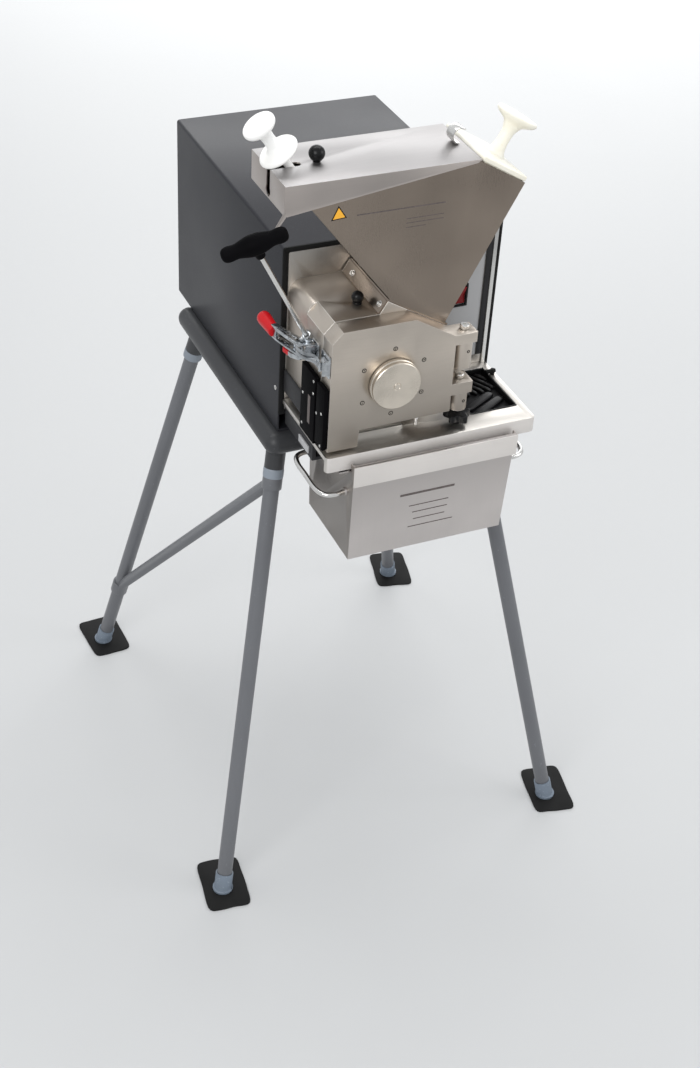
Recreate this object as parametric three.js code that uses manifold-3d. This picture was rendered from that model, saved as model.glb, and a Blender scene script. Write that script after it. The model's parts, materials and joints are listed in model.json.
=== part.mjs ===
// Cutting mill on a splayed tube stand: motor casing, knife chamber with a side-hinged door,
// slope-mounted feed hopper with two white pushers, and a collecting drawer under the table.
// Units are millimetres. +X is the machine's right, +Y its back, +Z up; z = 0 is the floor.
import * as THREE from 'three';
import { mergeVertices } from 'three/addons/utils/BufferGeometryUtils.js';
import Module from 'manifold-3d';

const wasm = await Module();
wasm.setup();

// ---------------------------------------------------------------- driving dimensions
const GAP = 0.3;                    // clearance between separate pieces
const FOOT_X = 337, FOOT_Y = 372;   // where the stand's feet meet the floor
const PAD_T = 3, PAD_W = 82, PAD_L = 122;
const RAIL_R = 20, RAIL_X = 190, RAIL_FRONT = -226, RAIL_BACK = 238;
const LEG_R = 13.5, SOCKET_X = 188, SOCKET_Y = 198, SOCKET_Z = 794;
const BODY_HALF = 188, BODY_FRONT = -207, BODY_BACK = 283, BODY_BASE = 870, BODY_TOP = 1204;
const SHEET = 3;                    // casing sheet
const FACE_T = 3;                   // front plate and gasket
const ROTOR_X = -74.5, ROTOR_Z = 1049, ROTOR_R = 54, BORE_R = 62;
const CHAMBER_FRONT = -350.5, DOOR_T = 33;
const DECK_Z = 1149;                // flat top of the chamber
const SLOPE_DEG = 30.3;             // inlet slope
const TABLE_Z = 935, TABLE_T = 3, TABLE_HALF = 182, TABLE_FRONT = -392, TABLE_FLANGE = 27;
const HINGE_X = 49, HINGE_Y = -366, PIN_R = 5;
const HOP_FRONT = -350, HOP_BACK = -226, HOP_T = 2.5;
const COVER_TOP = 1378, COVER_LEFT = -247, COVER_RIGHT = 57;
const VESSEL_HALF = 137, VESSEL_Z = 732, VESSEL_TOP = 903, VESSEL_FRONT = -405, VESSEL_BACK = -229;
const VESSEL_T = 2.5;

// ---------------------------------------------------------------- derived
const PLATE_BACK = BODY_FRONT - GAP;            // back of the front plate
const PLATE_FRONT = PLATE_BACK - FACE_T;
const CH_BACK = PLATE_FRONT - GAP;              // chamber's rear face
const DOOR_BACK = CHAMBER_FRONT - GAP, DOOR_FRONT = DOOR_BACK - DOOR_T;
const SLOPE = THREE.MathUtils.degToRad(SLOPE_DEG);
const SLOPE_X0 = -43;                           // slope meets the flat top here
const slopeZ = (x) => DECK_Z - (x - SLOPE_X0) * Math.tan(SLOPE);
const RIDGE_X = -76, RIDGE_FOOT = -88;
const CH_LEFT = -178, CH_RIGHT = 28.5;
const TABLE_BACK = PLATE_FRONT - GAP;

const V = (x, y, z) => new THREE.Vector3(x, y, z);
const lerp = (p, q, t) => V(p.x + (q.x - p.x) * t, p.y + (q.y - p.y) * t, p.z + (q.z - p.z) * t);

// ---------------------------------------------------------------- geometry helpers
function manifold(geometry) {
  const g = geometry.index ? geometry.clone() : geometry.clone();
  g.deleteAttribute('normal');
  g.deleteAttribute('uv');
  const m = mergeVertices(g, 1e-3);
  return new wasm.Manifold(new wasm.Mesh({
    numProp: 3,
    vertProperties: new Float32Array(m.attributes.position.array),
    triVerts: new Uint32Array(m.index.array),
  }));
}
function geometryOf(solid) {
  const mesh = solid.getMesh();
  const g = new THREE.BufferGeometry();
  g.setAttribute('position', new THREE.BufferAttribute(new Float32Array(mesh.vertProperties), 3));
  g.setIndex(new THREE.BufferAttribute(new Uint32Array(mesh.triVerts), 1));
  const flat = g.toNonIndexed();
  flat.computeVertexNormals();
  return flat;
}
const join = (...s) => s.reduce((a, b) => a.add(b));
const cut = (a, ...s) => s.reduce((r, b) => r.subtract(b), a);

function block(x0, x1, y0, y1, z0, z1) {
  const g = new THREE.BoxGeometry(x1 - x0, y1 - y0, z1 - z0);
  g.translate((x0 + x1) / 2, (y0 + y1) / 2, (z0 + z1) / 2);
  return manifold(g);
}
// closed outline [[a, b], ...]; plane 'xz' runs along Y, 'xy' along Z, 'yz' along X, from lo to hi
function prism(outline, plane, lo, hi) {
  const shape = new THREE.Shape(outline.map(([a, b]) => new THREE.Vector2(a, b)));
  const g = new THREE.ExtrudeGeometry(shape, { depth: hi - lo, bevelEnabled: false });
  const m = new THREE.Matrix4();
  if (plane === 'xy') m.makeTranslation(0, 0, lo);
  if (plane === 'xz') m.set(1, 0, 0, 0, 0, 0, -1, hi, 0, 1, 0, 0, 0, 0, 0, 1);
  if (plane === 'yz') m.set(0, 0, 1, lo, 1, 0, 0, 0, 0, 1, 0, 0, 0, 0, 0, 1);
  g.applyMatrix4(m);
  return manifold(g);
}
function aim(g, from, dir) {          // turns a geometry built along +Y to dir and puts it at from
  g.applyQuaternion(new THREE.Quaternion().setFromUnitVectors(V(0, 1, 0), dir.clone().normalize()));
  g.translate(from.x, from.y, from.z);
  return g;
}
function rod(p, q, r, seg = 32, r2 = r) {
  const d = q.clone().sub(p), g = new THREE.CylinderGeometry(r2, r, d.length(), seg);
  g.translate(0, d.length() / 2, 0);
  return manifold(aim(g, p, d));
}
function turned(profile, from, dir, seg = 48) {   // profile [[r, along], ...] starting and ending on the axis
  const g = new THREE.LatheGeometry(profile.map(([r, h]) => new THREE.Vector2(r, h)), seg);
  return manifold(aim(g, from, dir));
}
const ball = (c, r, w = 16, h = 10) => {
  const g = new THREE.SphereGeometry(r, w, h);
  g.translate(c.x, c.y, c.z);
  return manifold(g);
};
function tube(points, r, steps, seg = 16, tension = 0.5) {
  const path = new THREE.CatmullRomCurve3(points, false, 'catmullrom', tension);
  const ring = new THREE.Shape();
  ring.absarc(0, 0, r, 0, Math.PI * 2, false);
  const shape = new THREE.Shape(ring.getPoints(seg).slice(0, seg));
  return manifold(new THREE.ExtrudeGeometry(shape, { steps, extrudePath: path, bevelEnabled: false }));
}
// outline with its corners replaced by short arcs
function rounded(outline, radius, steps = 4) {
  const n = outline.length, out = [];
  for (let i = 0; i < n; i++) {
    const p = new THREE.Vector2(...outline[(i + n - 1) % n]), c = new THREE.Vector2(...outline[i]);
    const q = new THREE.Vector2(...outline[(i + 1) % n]);
    const r = Math.min(Array.isArray(radius) ? radius[i] : radius, p.distanceTo(c) / 2.01, q.distanceTo(c) / 2.01);
    if (r < 0.05) { out.push([c.x, c.y]); continue; }
    const a = p.sub(c).normalize().multiplyScalar(r).add(c), b = q.sub(c).normalize().multiplyScalar(r).add(c);
    for (let k = 0; k <= steps; k++) {
      const t = k / steps, u = 1 - t;
      out.push([u * u * a.x + 2 * u * t * c.x + t * t * b.x, u * u * a.y + 2 * u * t * c.y + t * t * b.y]);
    }
  }
  return out;
}
const rect = (x0, x1, y0, y1) => [[x0, y0], [x1, y0], [x1, y1], [x0, y1]];

// ---------------------------------------------------------------- materials and the model
const LOOK = {
  stand_paint: [0x6d7075, 0.1, 0.55], cap_plastic: [0x8b98a6, 0, 0.6], rubber: [0x101010, 0, 0.9],
  casing_paint: [0x3c3f45, 0.1, 0.55], steel: [0xb9b3aa, 0.9, 0.38], panel_paint: [0xa4a6aa, 0.1, 0.5],
  black_plastic: [0x121212, 0, 0.45], red_plastic: [0xc4121c, 0, 0.4], zinc: [0xc2c6cb, 0.95, 0.3],
  white_plastic: [0xf3f1ea, 0, 0.45], ivory_plastic: [0xece5cf, 0, 0.5], motor_paint: [0x4b5a66, 0.2, 0.5],
  dark_box: [0x3a3b3d, 0, 0.6],
};
const model = new THREE.Group();
model.name = 'cutting_mill';
function add(name, look, solid) {
  const [color, metalness, roughness] = LOOK[look];
  const mesh = new THREE.Mesh(geometryOf(solid), new THREE.MeshStandardMaterial({ color, metalness, roughness }));
  mesh.name = name;
  mesh.material.name = look;
  model.add(mesh);
}

// ================================================================ stand
const corners = [['front_left', -1, -1], ['front_right', 1, -1], ['back_left', -1, 1], ['back_right', 1, 1]];
const RAIL_Z = BODY_BASE - GAP - RAIL_R;
const footOf = (sx, sy) => V(sx * FOOT_X, sy * FOOT_Y, PAD_T + GAP);
const legTop = (sx, sy) => V(sx * SOCKET_X, sy * SOCKET_Y, SOCKET_Z);
const legDir = (sx, sy) => legTop(sx, sy).sub(footOf(sx, sy)).normalize();
const SOCKET_R = LEG_R + 3.2, CAP_R = LEG_R + 2.6;
const CROSS_FRONT = RAIL_FRONT + RAIL_R, CROSS_BACK = RAIL_BACK - RAIL_R - 20;
{
  const parts = [];
  for (const s of [-1, 1]) {
    const end = [0, 20, 42, 66, 90].map(THREE.MathUtils.degToRad);   // domed tube ends
    const len = RAIL_BACK - RAIL_FRONT, dome = (a) => [RAIL_R * Math.sin(a), RAIL_R * (1 - Math.cos(a))];
    const profile = end.map(dome).concat(end.map(dome).reverse().map(([r, h]) => [r, len - h]));
    parts.push(turned(profile, V(s * RAIL_X, RAIL_FRONT, RAIL_Z), V(0, 1, 0), 28));
  }
  for (const y of [CROSS_FRONT, CROSS_BACK]) {
    parts.push(rod(V(-RAIL_X, y, RAIL_Z), V(RAIL_X, y, RAIL_Z), RAIL_R - 0.1, 28));
  }
  const bores = [];
  for (const [, sx, sy] of corners) {
    const d = legDir(sx, sy), top = legTop(sx, sy);
    const reach = (RAIL_Z - SOCKET_Z) / d.z;
    parts.push(rod(top, top.clone().addScaledVector(d, reach), SOCKET_R, 24));
    bores.push(rod(top.clone().addScaledVector(d, -5), top.clone().addScaledVector(d, 26), LEG_R + GAP, 24));
  }
  add('stand_frame', 'stand_paint', cut(join(...parts), ...bores));
}
const CAP_LEN = 34, CAP_BASE = 6;
for (const [where, sx, sy] of corners) {
  const foot = footOf(sx, sy), d = legDir(sx, sy), top = legTop(sx, sy);
  add(`leg_${where}`, 'stand_paint',
    rod(foot.clone().addScaledVector(d, CAP_BASE + 4 + GAP), top.clone().addScaledVector(d, 26 - GAP), LEG_R, 24));
  const floorCut = block(foot.x - 60, foot.x + 60, foot.y - 60, foot.y + 60, -60, PAD_T + GAP);
  add(`foot_cap_${where}`, 'cap_plastic', cut(
    join(rod(foot.clone().addScaledVector(d, -20), foot.clone().addScaledVector(d, CAP_LEN), CAP_R, 20),
      rod(V(foot.x, foot.y, PAD_T), V(foot.x, foot.y, PAD_T + 5), CAP_R + 2.5, 20)),
    rod(foot.clone().addScaledVector(d, CAP_BASE + 4), foot.clone().addScaledVector(d, CAP_LEN + 5), LEG_R + GAP, 24),
    floorCut));
  const turn = THREE.MathUtils.degToRad({ front_left: -7, front_right: -11, back_left: 3, back_right: -13 }[where]);
  const g = new THREE.BoxGeometry(PAD_W, PAD_L, PAD_T);
  g.rotateZ(turn);
  g.translate(foot.x + (sx > 0 ? 11 : 5), foot.y + 10, PAD_T / 2);
  add(`foot_pad_${where}`, 'rubber', manifold(g));
}
// side braces: from a socket near the front leg's top down to a clip round the rear leg
const BRACE_R = 10.5, CLIP_T = 3;
for (const [side, sx] of [['left', -1], ['right', 1]]) {
  const rearFoot = footOf(sx, 1), rearDir = legDir(sx, 1), frontTop = legTop(sx, -1), frontDir = legDir(sx, -1);
  const grip = rearFoot.clone().addScaledVector(rearDir, 172);
  const ringR = LEG_R + GAP + CLIP_T;
  const upper = frontTop.clone().addScaledVector(frontDir, -24);
  const ringUp = upper.clone(), ring2 = LEG_R + GAP + CLIP_T;
  const clipLow = rod(grip.clone().addScaledVector(rearDir, -13), grip.clone().addScaledVector(rearDir, 13), ringR, 24);
  const clipUp = rod(ringUp.clone().addScaledVector(frontDir, -12), ringUp.clone().addScaledVector(frontDir, 12), ring2, 24);
  const bar = rod(grip, upper, BRACE_R, 20);
  const legs = [rod(grip.clone().addScaledVector(rearDir, -60), grip.clone().addScaledVector(rearDir, 60), LEG_R + GAP, 24),
    rod(ringUp.clone().addScaledVector(frontDir, -60), ringUp.clone().addScaledVector(frontDir, 60), LEG_R + GAP, 24)];
  add(`brace_${side}`, 'stand_paint', cut(join(clipLow, clipUp, bar), ...legs));
}

// ================================================================ casing with the drive inside
const PANEL_X0 = 100, PANEL_X1 = 163, PANEL_Z0 = TABLE_Z + 16;
{
  const outer = prism(rounded(rect(-BODY_HALF, BODY_HALF, BODY_BASE, BODY_TOP), 5, 3), 'xz', BODY_FRONT, BODY_BACK);
  const inner = block(-BODY_HALF + SHEET, BODY_HALF - SHEET, BODY_FRONT - 1, BODY_BACK + 1,
    BODY_BASE + SHEET + 2, BODY_TOP - SHEET);
  add('casing_shell', 'casing_paint', cut(outer, inner));
}
{
  const inset = SHEET + GAP, plate = [];
  plate.push(block(-BODY_HALF + inset, BODY_HALF - inset, BODY_BACK - 6, BODY_BACK - 4,
    BODY_BASE + SHEET + 2 + GAP, BODY_TOP - inset));
  let solid = join(...plate);
  for (let row = 0; row < 6; row++) {
    for (const x of [-92, 92]) {
      const z = BODY_BASE + 70 + row * 16;
      solid = cut(solid, block(x - 48, x + 48, BODY_BACK - 8, BODY_BACK, z, z + 6));
    }
  }
  add('casing_back', 'casing_paint', solid);
}
const SHAFT_HOLE = 24;
const gasketOut = rect(-BODY_HALF, BODY_HALF, TABLE_Z - 30, BODY_TOP);
const windowX0 = -BODY_HALF + 9, windowX1 = BODY_HALF - 6.5, windowZ0 = TABLE_Z - 22, windowZ1 = BODY_TOP - 8;
{
  const frame = prism(rounded(gasketOut, 4, 3), 'xz', PLATE_FRONT, PLATE_BACK);
  add('front_gasket', 'rubber', cut(frame,
    prism(rounded(rect(windowX0, windowX1, windowZ0, windowZ1), 3, 3), 'xz', PLATE_FRONT - 1, PLATE_BACK + 1)));
}
{
  const plate = prism(rounded(rect(windowX0 + GAP, windowX1 - GAP, windowZ0 + GAP, windowZ1 - GAP), 3, 3),
    'xz', PLATE_FRONT, PLATE_BACK);
  add('front_plate', 'steel', cut(plate,
    block(PANEL_X0, PANEL_X1, PLATE_FRONT - 1, PLATE_BACK + 1, PANEL_Z0, windowZ1 - 8),
    rod(V(ROTOR_X, PLATE_FRONT - 1, ROTOR_Z), V(ROTOR_X, PLATE_BACK + 1, ROTOR_Z), SHAFT_HOLE, 40)));
}
const ROCK_X = 119, ROCK_Z = 1071, ROCK_W = 13, ROCK_H = 17;
{
  const panel = block(PANEL_X0 + GAP, PANEL_X1 - GAP, PLATE_FRONT, PLATE_BACK, PANEL_Z0 + GAP, windowZ1 - 8 - GAP);
  const rim = block(ROCK_X - ROCK_W - 3, ROCK_X + ROCK_W + 3, PLATE_FRONT - 3, PLATE_BACK + 18,
    ROCK_Z - ROCK_H - 3, ROCK_Z + ROCK_H + 3);
  add('control_panel', 'panel_paint', cut(join(panel, rim),
    block(ROCK_X - ROCK_W, ROCK_X + ROCK_W, PLATE_FRONT - 4, PLATE_BACK + 15, ROCK_Z - ROCK_H, ROCK_Z + ROCK_H)));
}
{
  const y = PLATE_FRONT - 1.5, w = ROCK_W - GAP * 2, h = ROCK_H - 1.6;
  const side = [[y - 4.5, ROCK_Z + h], [y + 0.5, ROCK_Z], [y - 0.5, ROCK_Z - h], [y + 8, ROCK_Z - h + 1.5],
    [y + 11, ROCK_Z - 4], [y + 11, ROCK_Z + 4], [y + 8, ROCK_Z + h - 1.5]];
  add('main_switch_rocker', 'red_plastic', prism(side, 'yz', ROCK_X - w, ROCK_X + w));
}
const MOTOR_R = 78, MOTOR_Y0 = -60, MOTOR_Y1 = 170, SHAFT_R = 14;
{
  const profile = [[0, 0], [36, 0], [36, 6], [MOTOR_R - 8, 10], [MOTOR_R, 22]];
  for (let y = 34; y < MOTOR_Y1 - MOTOR_Y0 - 40; y += 40) {
    profile.push([MOTOR_R, y], [MOTOR_R - 5, y + 3], [MOTOR_R - 5, y + 11], [MOTOR_R, y + 14]);
  }
  const len = MOTOR_Y1 - MOTOR_Y0;
  profile.push([MOTOR_R, len - 14], [MOTOR_R - 8, len], [0, len]);
  const body = turned(profile, V(ROTOR_X, MOTOR_Y0, ROTOR_Z), V(0, 1, 0), 24);
  const box = block(ROTOR_X + 30, ROTOR_X + 96, 0, 90, ROTOR_Z - 30, ROTOR_Z + 30);
  add('motor', 'motor_paint', cut(join(body, box),
    rod(V(ROTOR_X, MOTOR_Y0 - 1, ROTOR_Z), V(ROTOR_X, MOTOR_Y0 + 20, ROTOR_Z), SHAFT_R + GAP, 32)));
}
{
  const seat = ROTOR_Z, z0 = BODY_BASE + SHEET + 2 + GAP;
  const cradle = prism([[ROTOR_X - 62, z0], [ROTOR_X + 62, z0], [ROTOR_X + 58, seat - 10], [ROTOR_X - 58, seat - 10]],
    'xz', 0, 110);
  const cavity = rod(V(ROTOR_X, -5, ROTOR_Z), V(ROTOR_X, 115, ROTOR_Z), MOTOR_R + GAP, 48);
  const mid = block(ROTOR_X - 70, ROTOR_X + 70, 16, 94, z0 + 12, seat);
  add('motor_cradle', 'casing_paint', cut(cradle, cavity, cut(mid, block(ROTOR_X - 12, ROTOR_X + 12, 0, 110, z0, seat))));
}
{
  const ring = join(rod(V(ROTOR_X, BODY_FRONT + 0.0, ROTOR_Z), V(ROTOR_X, BODY_FRONT + 14, ROTOR_Z), 62, 32),
    rod(V(ROTOR_X, BODY_FRONT, ROTOR_Z), V(ROTOR_X, BODY_FRONT + 62, ROTOR_Z), 42, 32));
  add('bearing_housing', 'steel', cut(ring,
    rod(V(ROTOR_X, BODY_FRONT - 1, ROTOR_Z), V(ROTOR_X, BODY_FRONT + 70, ROTOR_Z), SHAFT_R + GAP, 32)));
}
{
  const y0 = MOTOR_Y0 + 19, parts = [];
  parts.push(rod(V(ROTOR_X, y0, ROTOR_Z), V(ROTOR_X, CHAMBER_FRONT + 8, ROTOR_Z), SHAFT_R, 32));
  parts.push(rod(V(ROTOR_X, BODY_FRONT + 70, ROTOR_Z), V(ROTOR_X, MOTOR_Y0 - 12, ROTOR_Z), 30, 32));
  const wing = [];
  for (let k = 0; k < 3; k++) {             // three knife wings with a raked leading face
    for (const [r, a] of [[26, -18], [ROTOR_R, 0], [ROTOR_R, 14], [30, 52]]) {
      const t = THREE.MathUtils.degToRad(a + k * 120 + 20);
      wing.push([ROTOR_X + r * Math.cos(t), ROTOR_Z + r * Math.sin(t)]);
    }
  }
  parts.push(prism(wing, 'xz', CHAMBER_FRONT + 4, CHAMBER_FRONT + 114));
  add('knife_rotor', 'steel', join(...parts));
}

// ================================================================ knife chamber
const slopeDir = V(Math.cos(SLOPE), 0, -Math.sin(SLOPE)), slopeUp = V(Math.sin(SLOPE), 0, Math.cos(SLOPE));
const onSlope = (x, up) => V(x, 0, slopeZ(x)).addScaledVector(slopeUp, up);
const BORE_BACK = CHAMBER_FRONT + 122;
const INLET = [-58, 12], OUTLET = [-122, -30], SIEVE_T = 2;
const CH_FOOT = 972;
{
  const outline = [[CH_LEFT, 990], [-128, 990], [-128, CH_FOOT], [CH_RIGHT, CH_FOOT], [CH_RIGHT, slopeZ(CH_RIGHT)],
    [RIDGE_X, slopeZ(RIDGE_X)], [RIDGE_FOOT, DECK_Z], [-161, DECK_Z], [CH_LEFT, 1131]];
  const front = prism(outline, 'xz', CHAMBER_FRONT, -285);
  const back = prism([[CH_LEFT, 990], [-128, 990], [-128, CH_FOOT], [CH_RIGHT, CH_FOOT], [CH_RIGHT, slopeZ(CH_RIGHT)],
    [RIDGE_X, slopeZ(RIDGE_X)], [RIDGE_FOOT, DECK_Z], [-156, DECK_Z], [-166, 1147], [-173, 1141], [CH_LEFT, 1128]],
  'xz', -285.001, CH_BACK);
  const quad = (a, b, up, y0, y1) => {
    const p = [onSlope(a, -60), onSlope(b, -60), onSlope(b, up), onSlope(a, up)].map((v) => [v.x, v.z]);
    return prism(p, 'xz', y0, y1);
  };
  let body = join(front, back);
  body = cut(body, rod(V(ROTOR_X, CHAMBER_FRONT - 1, ROTOR_Z), V(ROTOR_X, BORE_BACK, ROTOR_Z), BORE_R, 64),
    rod(V(ROTOR_X, CHAMBER_FRONT, ROTOR_Z), V(ROTOR_X, CH_BACK + 2, ROTOR_Z), SHAFT_R + GAP, 40),
    quad(INLET[0], INLET[1], 20, -340, -236),
    block(OUTLET[0], OUTLET[1], -340, -236, 940, ROTOR_Z - 30),
    rod(V(-107, -309, DECK_Z - 18), V(-107, -309, DECK_Z + 5), 4 + GAP, 24));
  add('chamber_body', 'steel', body);
}
{
  const arc = [], n = 22, lo = THREE.MathUtils.degToRad(212), hi = THREE.MathUtils.degToRad(328);
  for (const [r, dir] of [[BORE_R - GAP, 1], [BORE_R - GAP - SIEVE_T, -1]]) {
    for (let i = 0; i <= n; i++) {
      const t = dir > 0 ? lo + (hi - lo) * i / n : hi - (hi - lo) * i / n;
      arc.push([ROTOR_X + r * Math.cos(t), ROTOR_Z + r * Math.sin(t)]);
    }
  }
  add('sieve_insert', 'steel', prism(arc, 'xz', CHAMBER_FRONT + 1, BORE_BACK - 1));
}
// door with its two hinge ears
const EAR_UP = [1092, slopeZ(25.5)], EAR_LOW = [1002, 1022], KNUCKLE_R = 15;
const DOOR_FOOT = TABLE_Z + 6.5;
const CAP_SEAT = 3;
const EAR_RIGHT = 64, EAR_BACK = HINGE_Y + KNUCKLE_R;
const earOutline = rounded(rect(CH_RIGHT - 12, EAR_RIGHT, DOOR_FRONT, EAR_BACK), [0, 2, 2, 0], 3);
const pinBore = (z0, z1) => rod(V(HINGE_X, HINGE_Y, z0), V(HINGE_X, HINGE_Y, z1), PIN_R + GAP, 24);
{
  const leaf = [[CH_LEFT, DOOR_FOOT], [-128, DOOR_FOOT], [-126, CH_FOOT], [27.5, CH_FOOT + 2], [27.5, slopeZ(27.5)],
    [SLOPE_X0, DECK_Z], [-161, DECK_Z], [CH_LEFT, 1131]];
  const parts = [prism(leaf, 'xz', DOOR_FRONT, DOOR_BACK)];
  for (const [z0, z1] of [EAR_UP, EAR_LOW]) parts.push(prism(earOutline, 'xy', z0, z1));
  let door = join(...parts);
  door = cut(door, pinBore(EAR_UP[0] - 5, EAR_UP[1] + 5), pinBore(EAR_LOW[0] - 5, EAR_LOW[1] + 5),
    rod(V(ROTOR_X, DOOR_FRONT - 1, ROTOR_Z), V(ROTOR_X, DOOR_FRONT + CAP_SEAT, ROTOR_Z), 38 + GAP, 48));
  add('chamber_door', 'steel', door);
}
add('door_centre_cap', 'steel', turned(
  [[0, 0], [38, 0], [38, CAP_SEAT + GAP], [40.5, CAP_SEAT + GAP], [40.5, 9], [39, 9.8], [39, 11.2], [40, 12],
    [40, 17], [38.6, 18.6], [6, 18.6], [6, 17.8], [0, 17.8]],
  V(ROTOR_X, DOOR_FRONT + CAP_SEAT - GAP, ROTOR_Z), V(0, -1, 0), 40));
// fixed hinge block: bar on the chamber's side with a knuckle under each ear
const KNUCKLE_UP = [1044, EAR_UP[0] - GAP], KNUCKLE_LOW = [968, EAR_LOW[0] - GAP];
{
  const barY0 = CHAMBER_FRONT + 1.5, parts = [];
  parts.push(block(CH_RIGHT + GAP, HINGE_X + 20, barY0, barY0 + 22, KNUCKLE_LOW[0], KNUCKLE_UP[1]));
  for (const [z0, z1] of [KNUCKLE_UP, KNUCKLE_LOW]) {
    const arm = [[HINGE_X - KNUCKLE_R, barY0 + 2], [HINGE_X - KNUCKLE_R, HINGE_Y]];
    for (let k = 1; k < 12; k++) {
      const t = Math.PI + Math.PI * k / 12;
      arm.push([HINGE_X + KNUCKLE_R * Math.cos(t), HINGE_Y + KNUCKLE_R * Math.sin(t)]);
    }
    arm.push([HINGE_X + KNUCKLE_R, HINGE_Y], [HINGE_X + KNUCKLE_R, barY0 + 2]);
    parts.push(prism(arm, 'xy', z0, z1));
  }
  const swing = block(CH_RIGHT, HINGE_X + 21, barY0 - 1, HINGE_Y + 25, EAR_LOW[0] - 1.5, EAR_LOW[1] + 1.5);   // room for the ear
  add('hinge_bracket', 'steel', cut(join(cut(parts[0], swing), ...parts.slice(1)), pinBore(KNUCKLE_UP[0] + 10, KNUCKLE_UP[1] + 5),
    pinBore(KNUCKLE_LOW[0] + 8, KNUCKLE_LOW[1] + 5)));
}
for (const [name, ear, knuckle, depth] of [['hinge_pin_upper', EAR_UP, KNUCKLE_UP, 10], ['hinge_pin_lower', EAR_LOW, KNUCKLE_LOW, 8]]) {
  const z = ear[1] + GAP;
  add(name, 'steel', turned([[0, 0], [PIN_R, 0], [PIN_R, z - knuckle[0] - depth - GAP],
    [7.5, z - knuckle[0] - depth - GAP], [7.5, z - knuckle[0] - depth - GAP + 6], [6.3, z - knuckle[0] - depth + 6.6],
    [0, z - knuckle[0] - depth + 6.6]], V(HINGE_X, HINGE_Y, knuckle[0] + depth + GAP), V(0, 0, 1), 28));
}
// spring-loaded locking pin on the chamber's flat top
add('lock_pin_knob', 'black_plastic', join(
  rod(V(-107, -309, DECK_Z - 14), V(-107, -309, DECK_Z + 6), 4, 24),
  rod(V(-107, -309, DECK_Z + 0.5), V(-107, -309, DECK_Z + 4), 7, 24),
  ball(V(-107, -309, DECK_Z + 11), 9.5)));

// ================================================================ table, drawer and outlet
const MAT = { x0: 84, x1: 170, y0: -352, y1: -229 };
{
  const yFront = TABLE_FRONT, zLow = TABLE_Z - TABLE_FLANGE;
  const top = prism(rounded(rect(-TABLE_HALF, TABLE_HALF, yFront, TABLE_BACK), [8, 8, 2, 2], 4), 'xy',
    TABLE_Z - TABLE_T, TABLE_Z);
  const skirt = join(cut(
    prism(rounded(rect(-TABLE_HALF, TABLE_HALF, yFront, TABLE_BACK), [8, 8, 2, 2], 4), 'xy', zLow, TABLE_Z),
    prism(rounded(rect(-TABLE_HALF + TABLE_T, TABLE_HALF - TABLE_T, yFront + TABLE_T, TABLE_BACK + 5), [5, 5, 1, 1], 4),
      'xy', zLow - 1, TABLE_Z - TABLE_T)).subtract(
      block(-TABLE_HALF - 1, TABLE_HALF + 1, yFront + 9, TABLE_BACK + 1, zLow - 2, TABLE_Z - 8)));
  let table = join(top, skirt);
  table = cut(table,
    prism(rounded(rect(MAT.x0, MAT.x1, MAT.y0, MAT.y1), 5, 4), 'xy', TABLE_Z - 5, TABLE_Z + 5),
    block(OUTLET[0] - 1, OUTLET[1] + 1, -341, -235, TABLE_Z - 5, TABLE_Z + 5));
  add('table', 'steel', table);
}
const RUN = { in: TABLE_HALF - 10, ledge: VESSEL_HALF + 8, y0: -330, y1: -216 };
const RIM_Z0 = VESSEL_TOP - 5.5;
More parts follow.
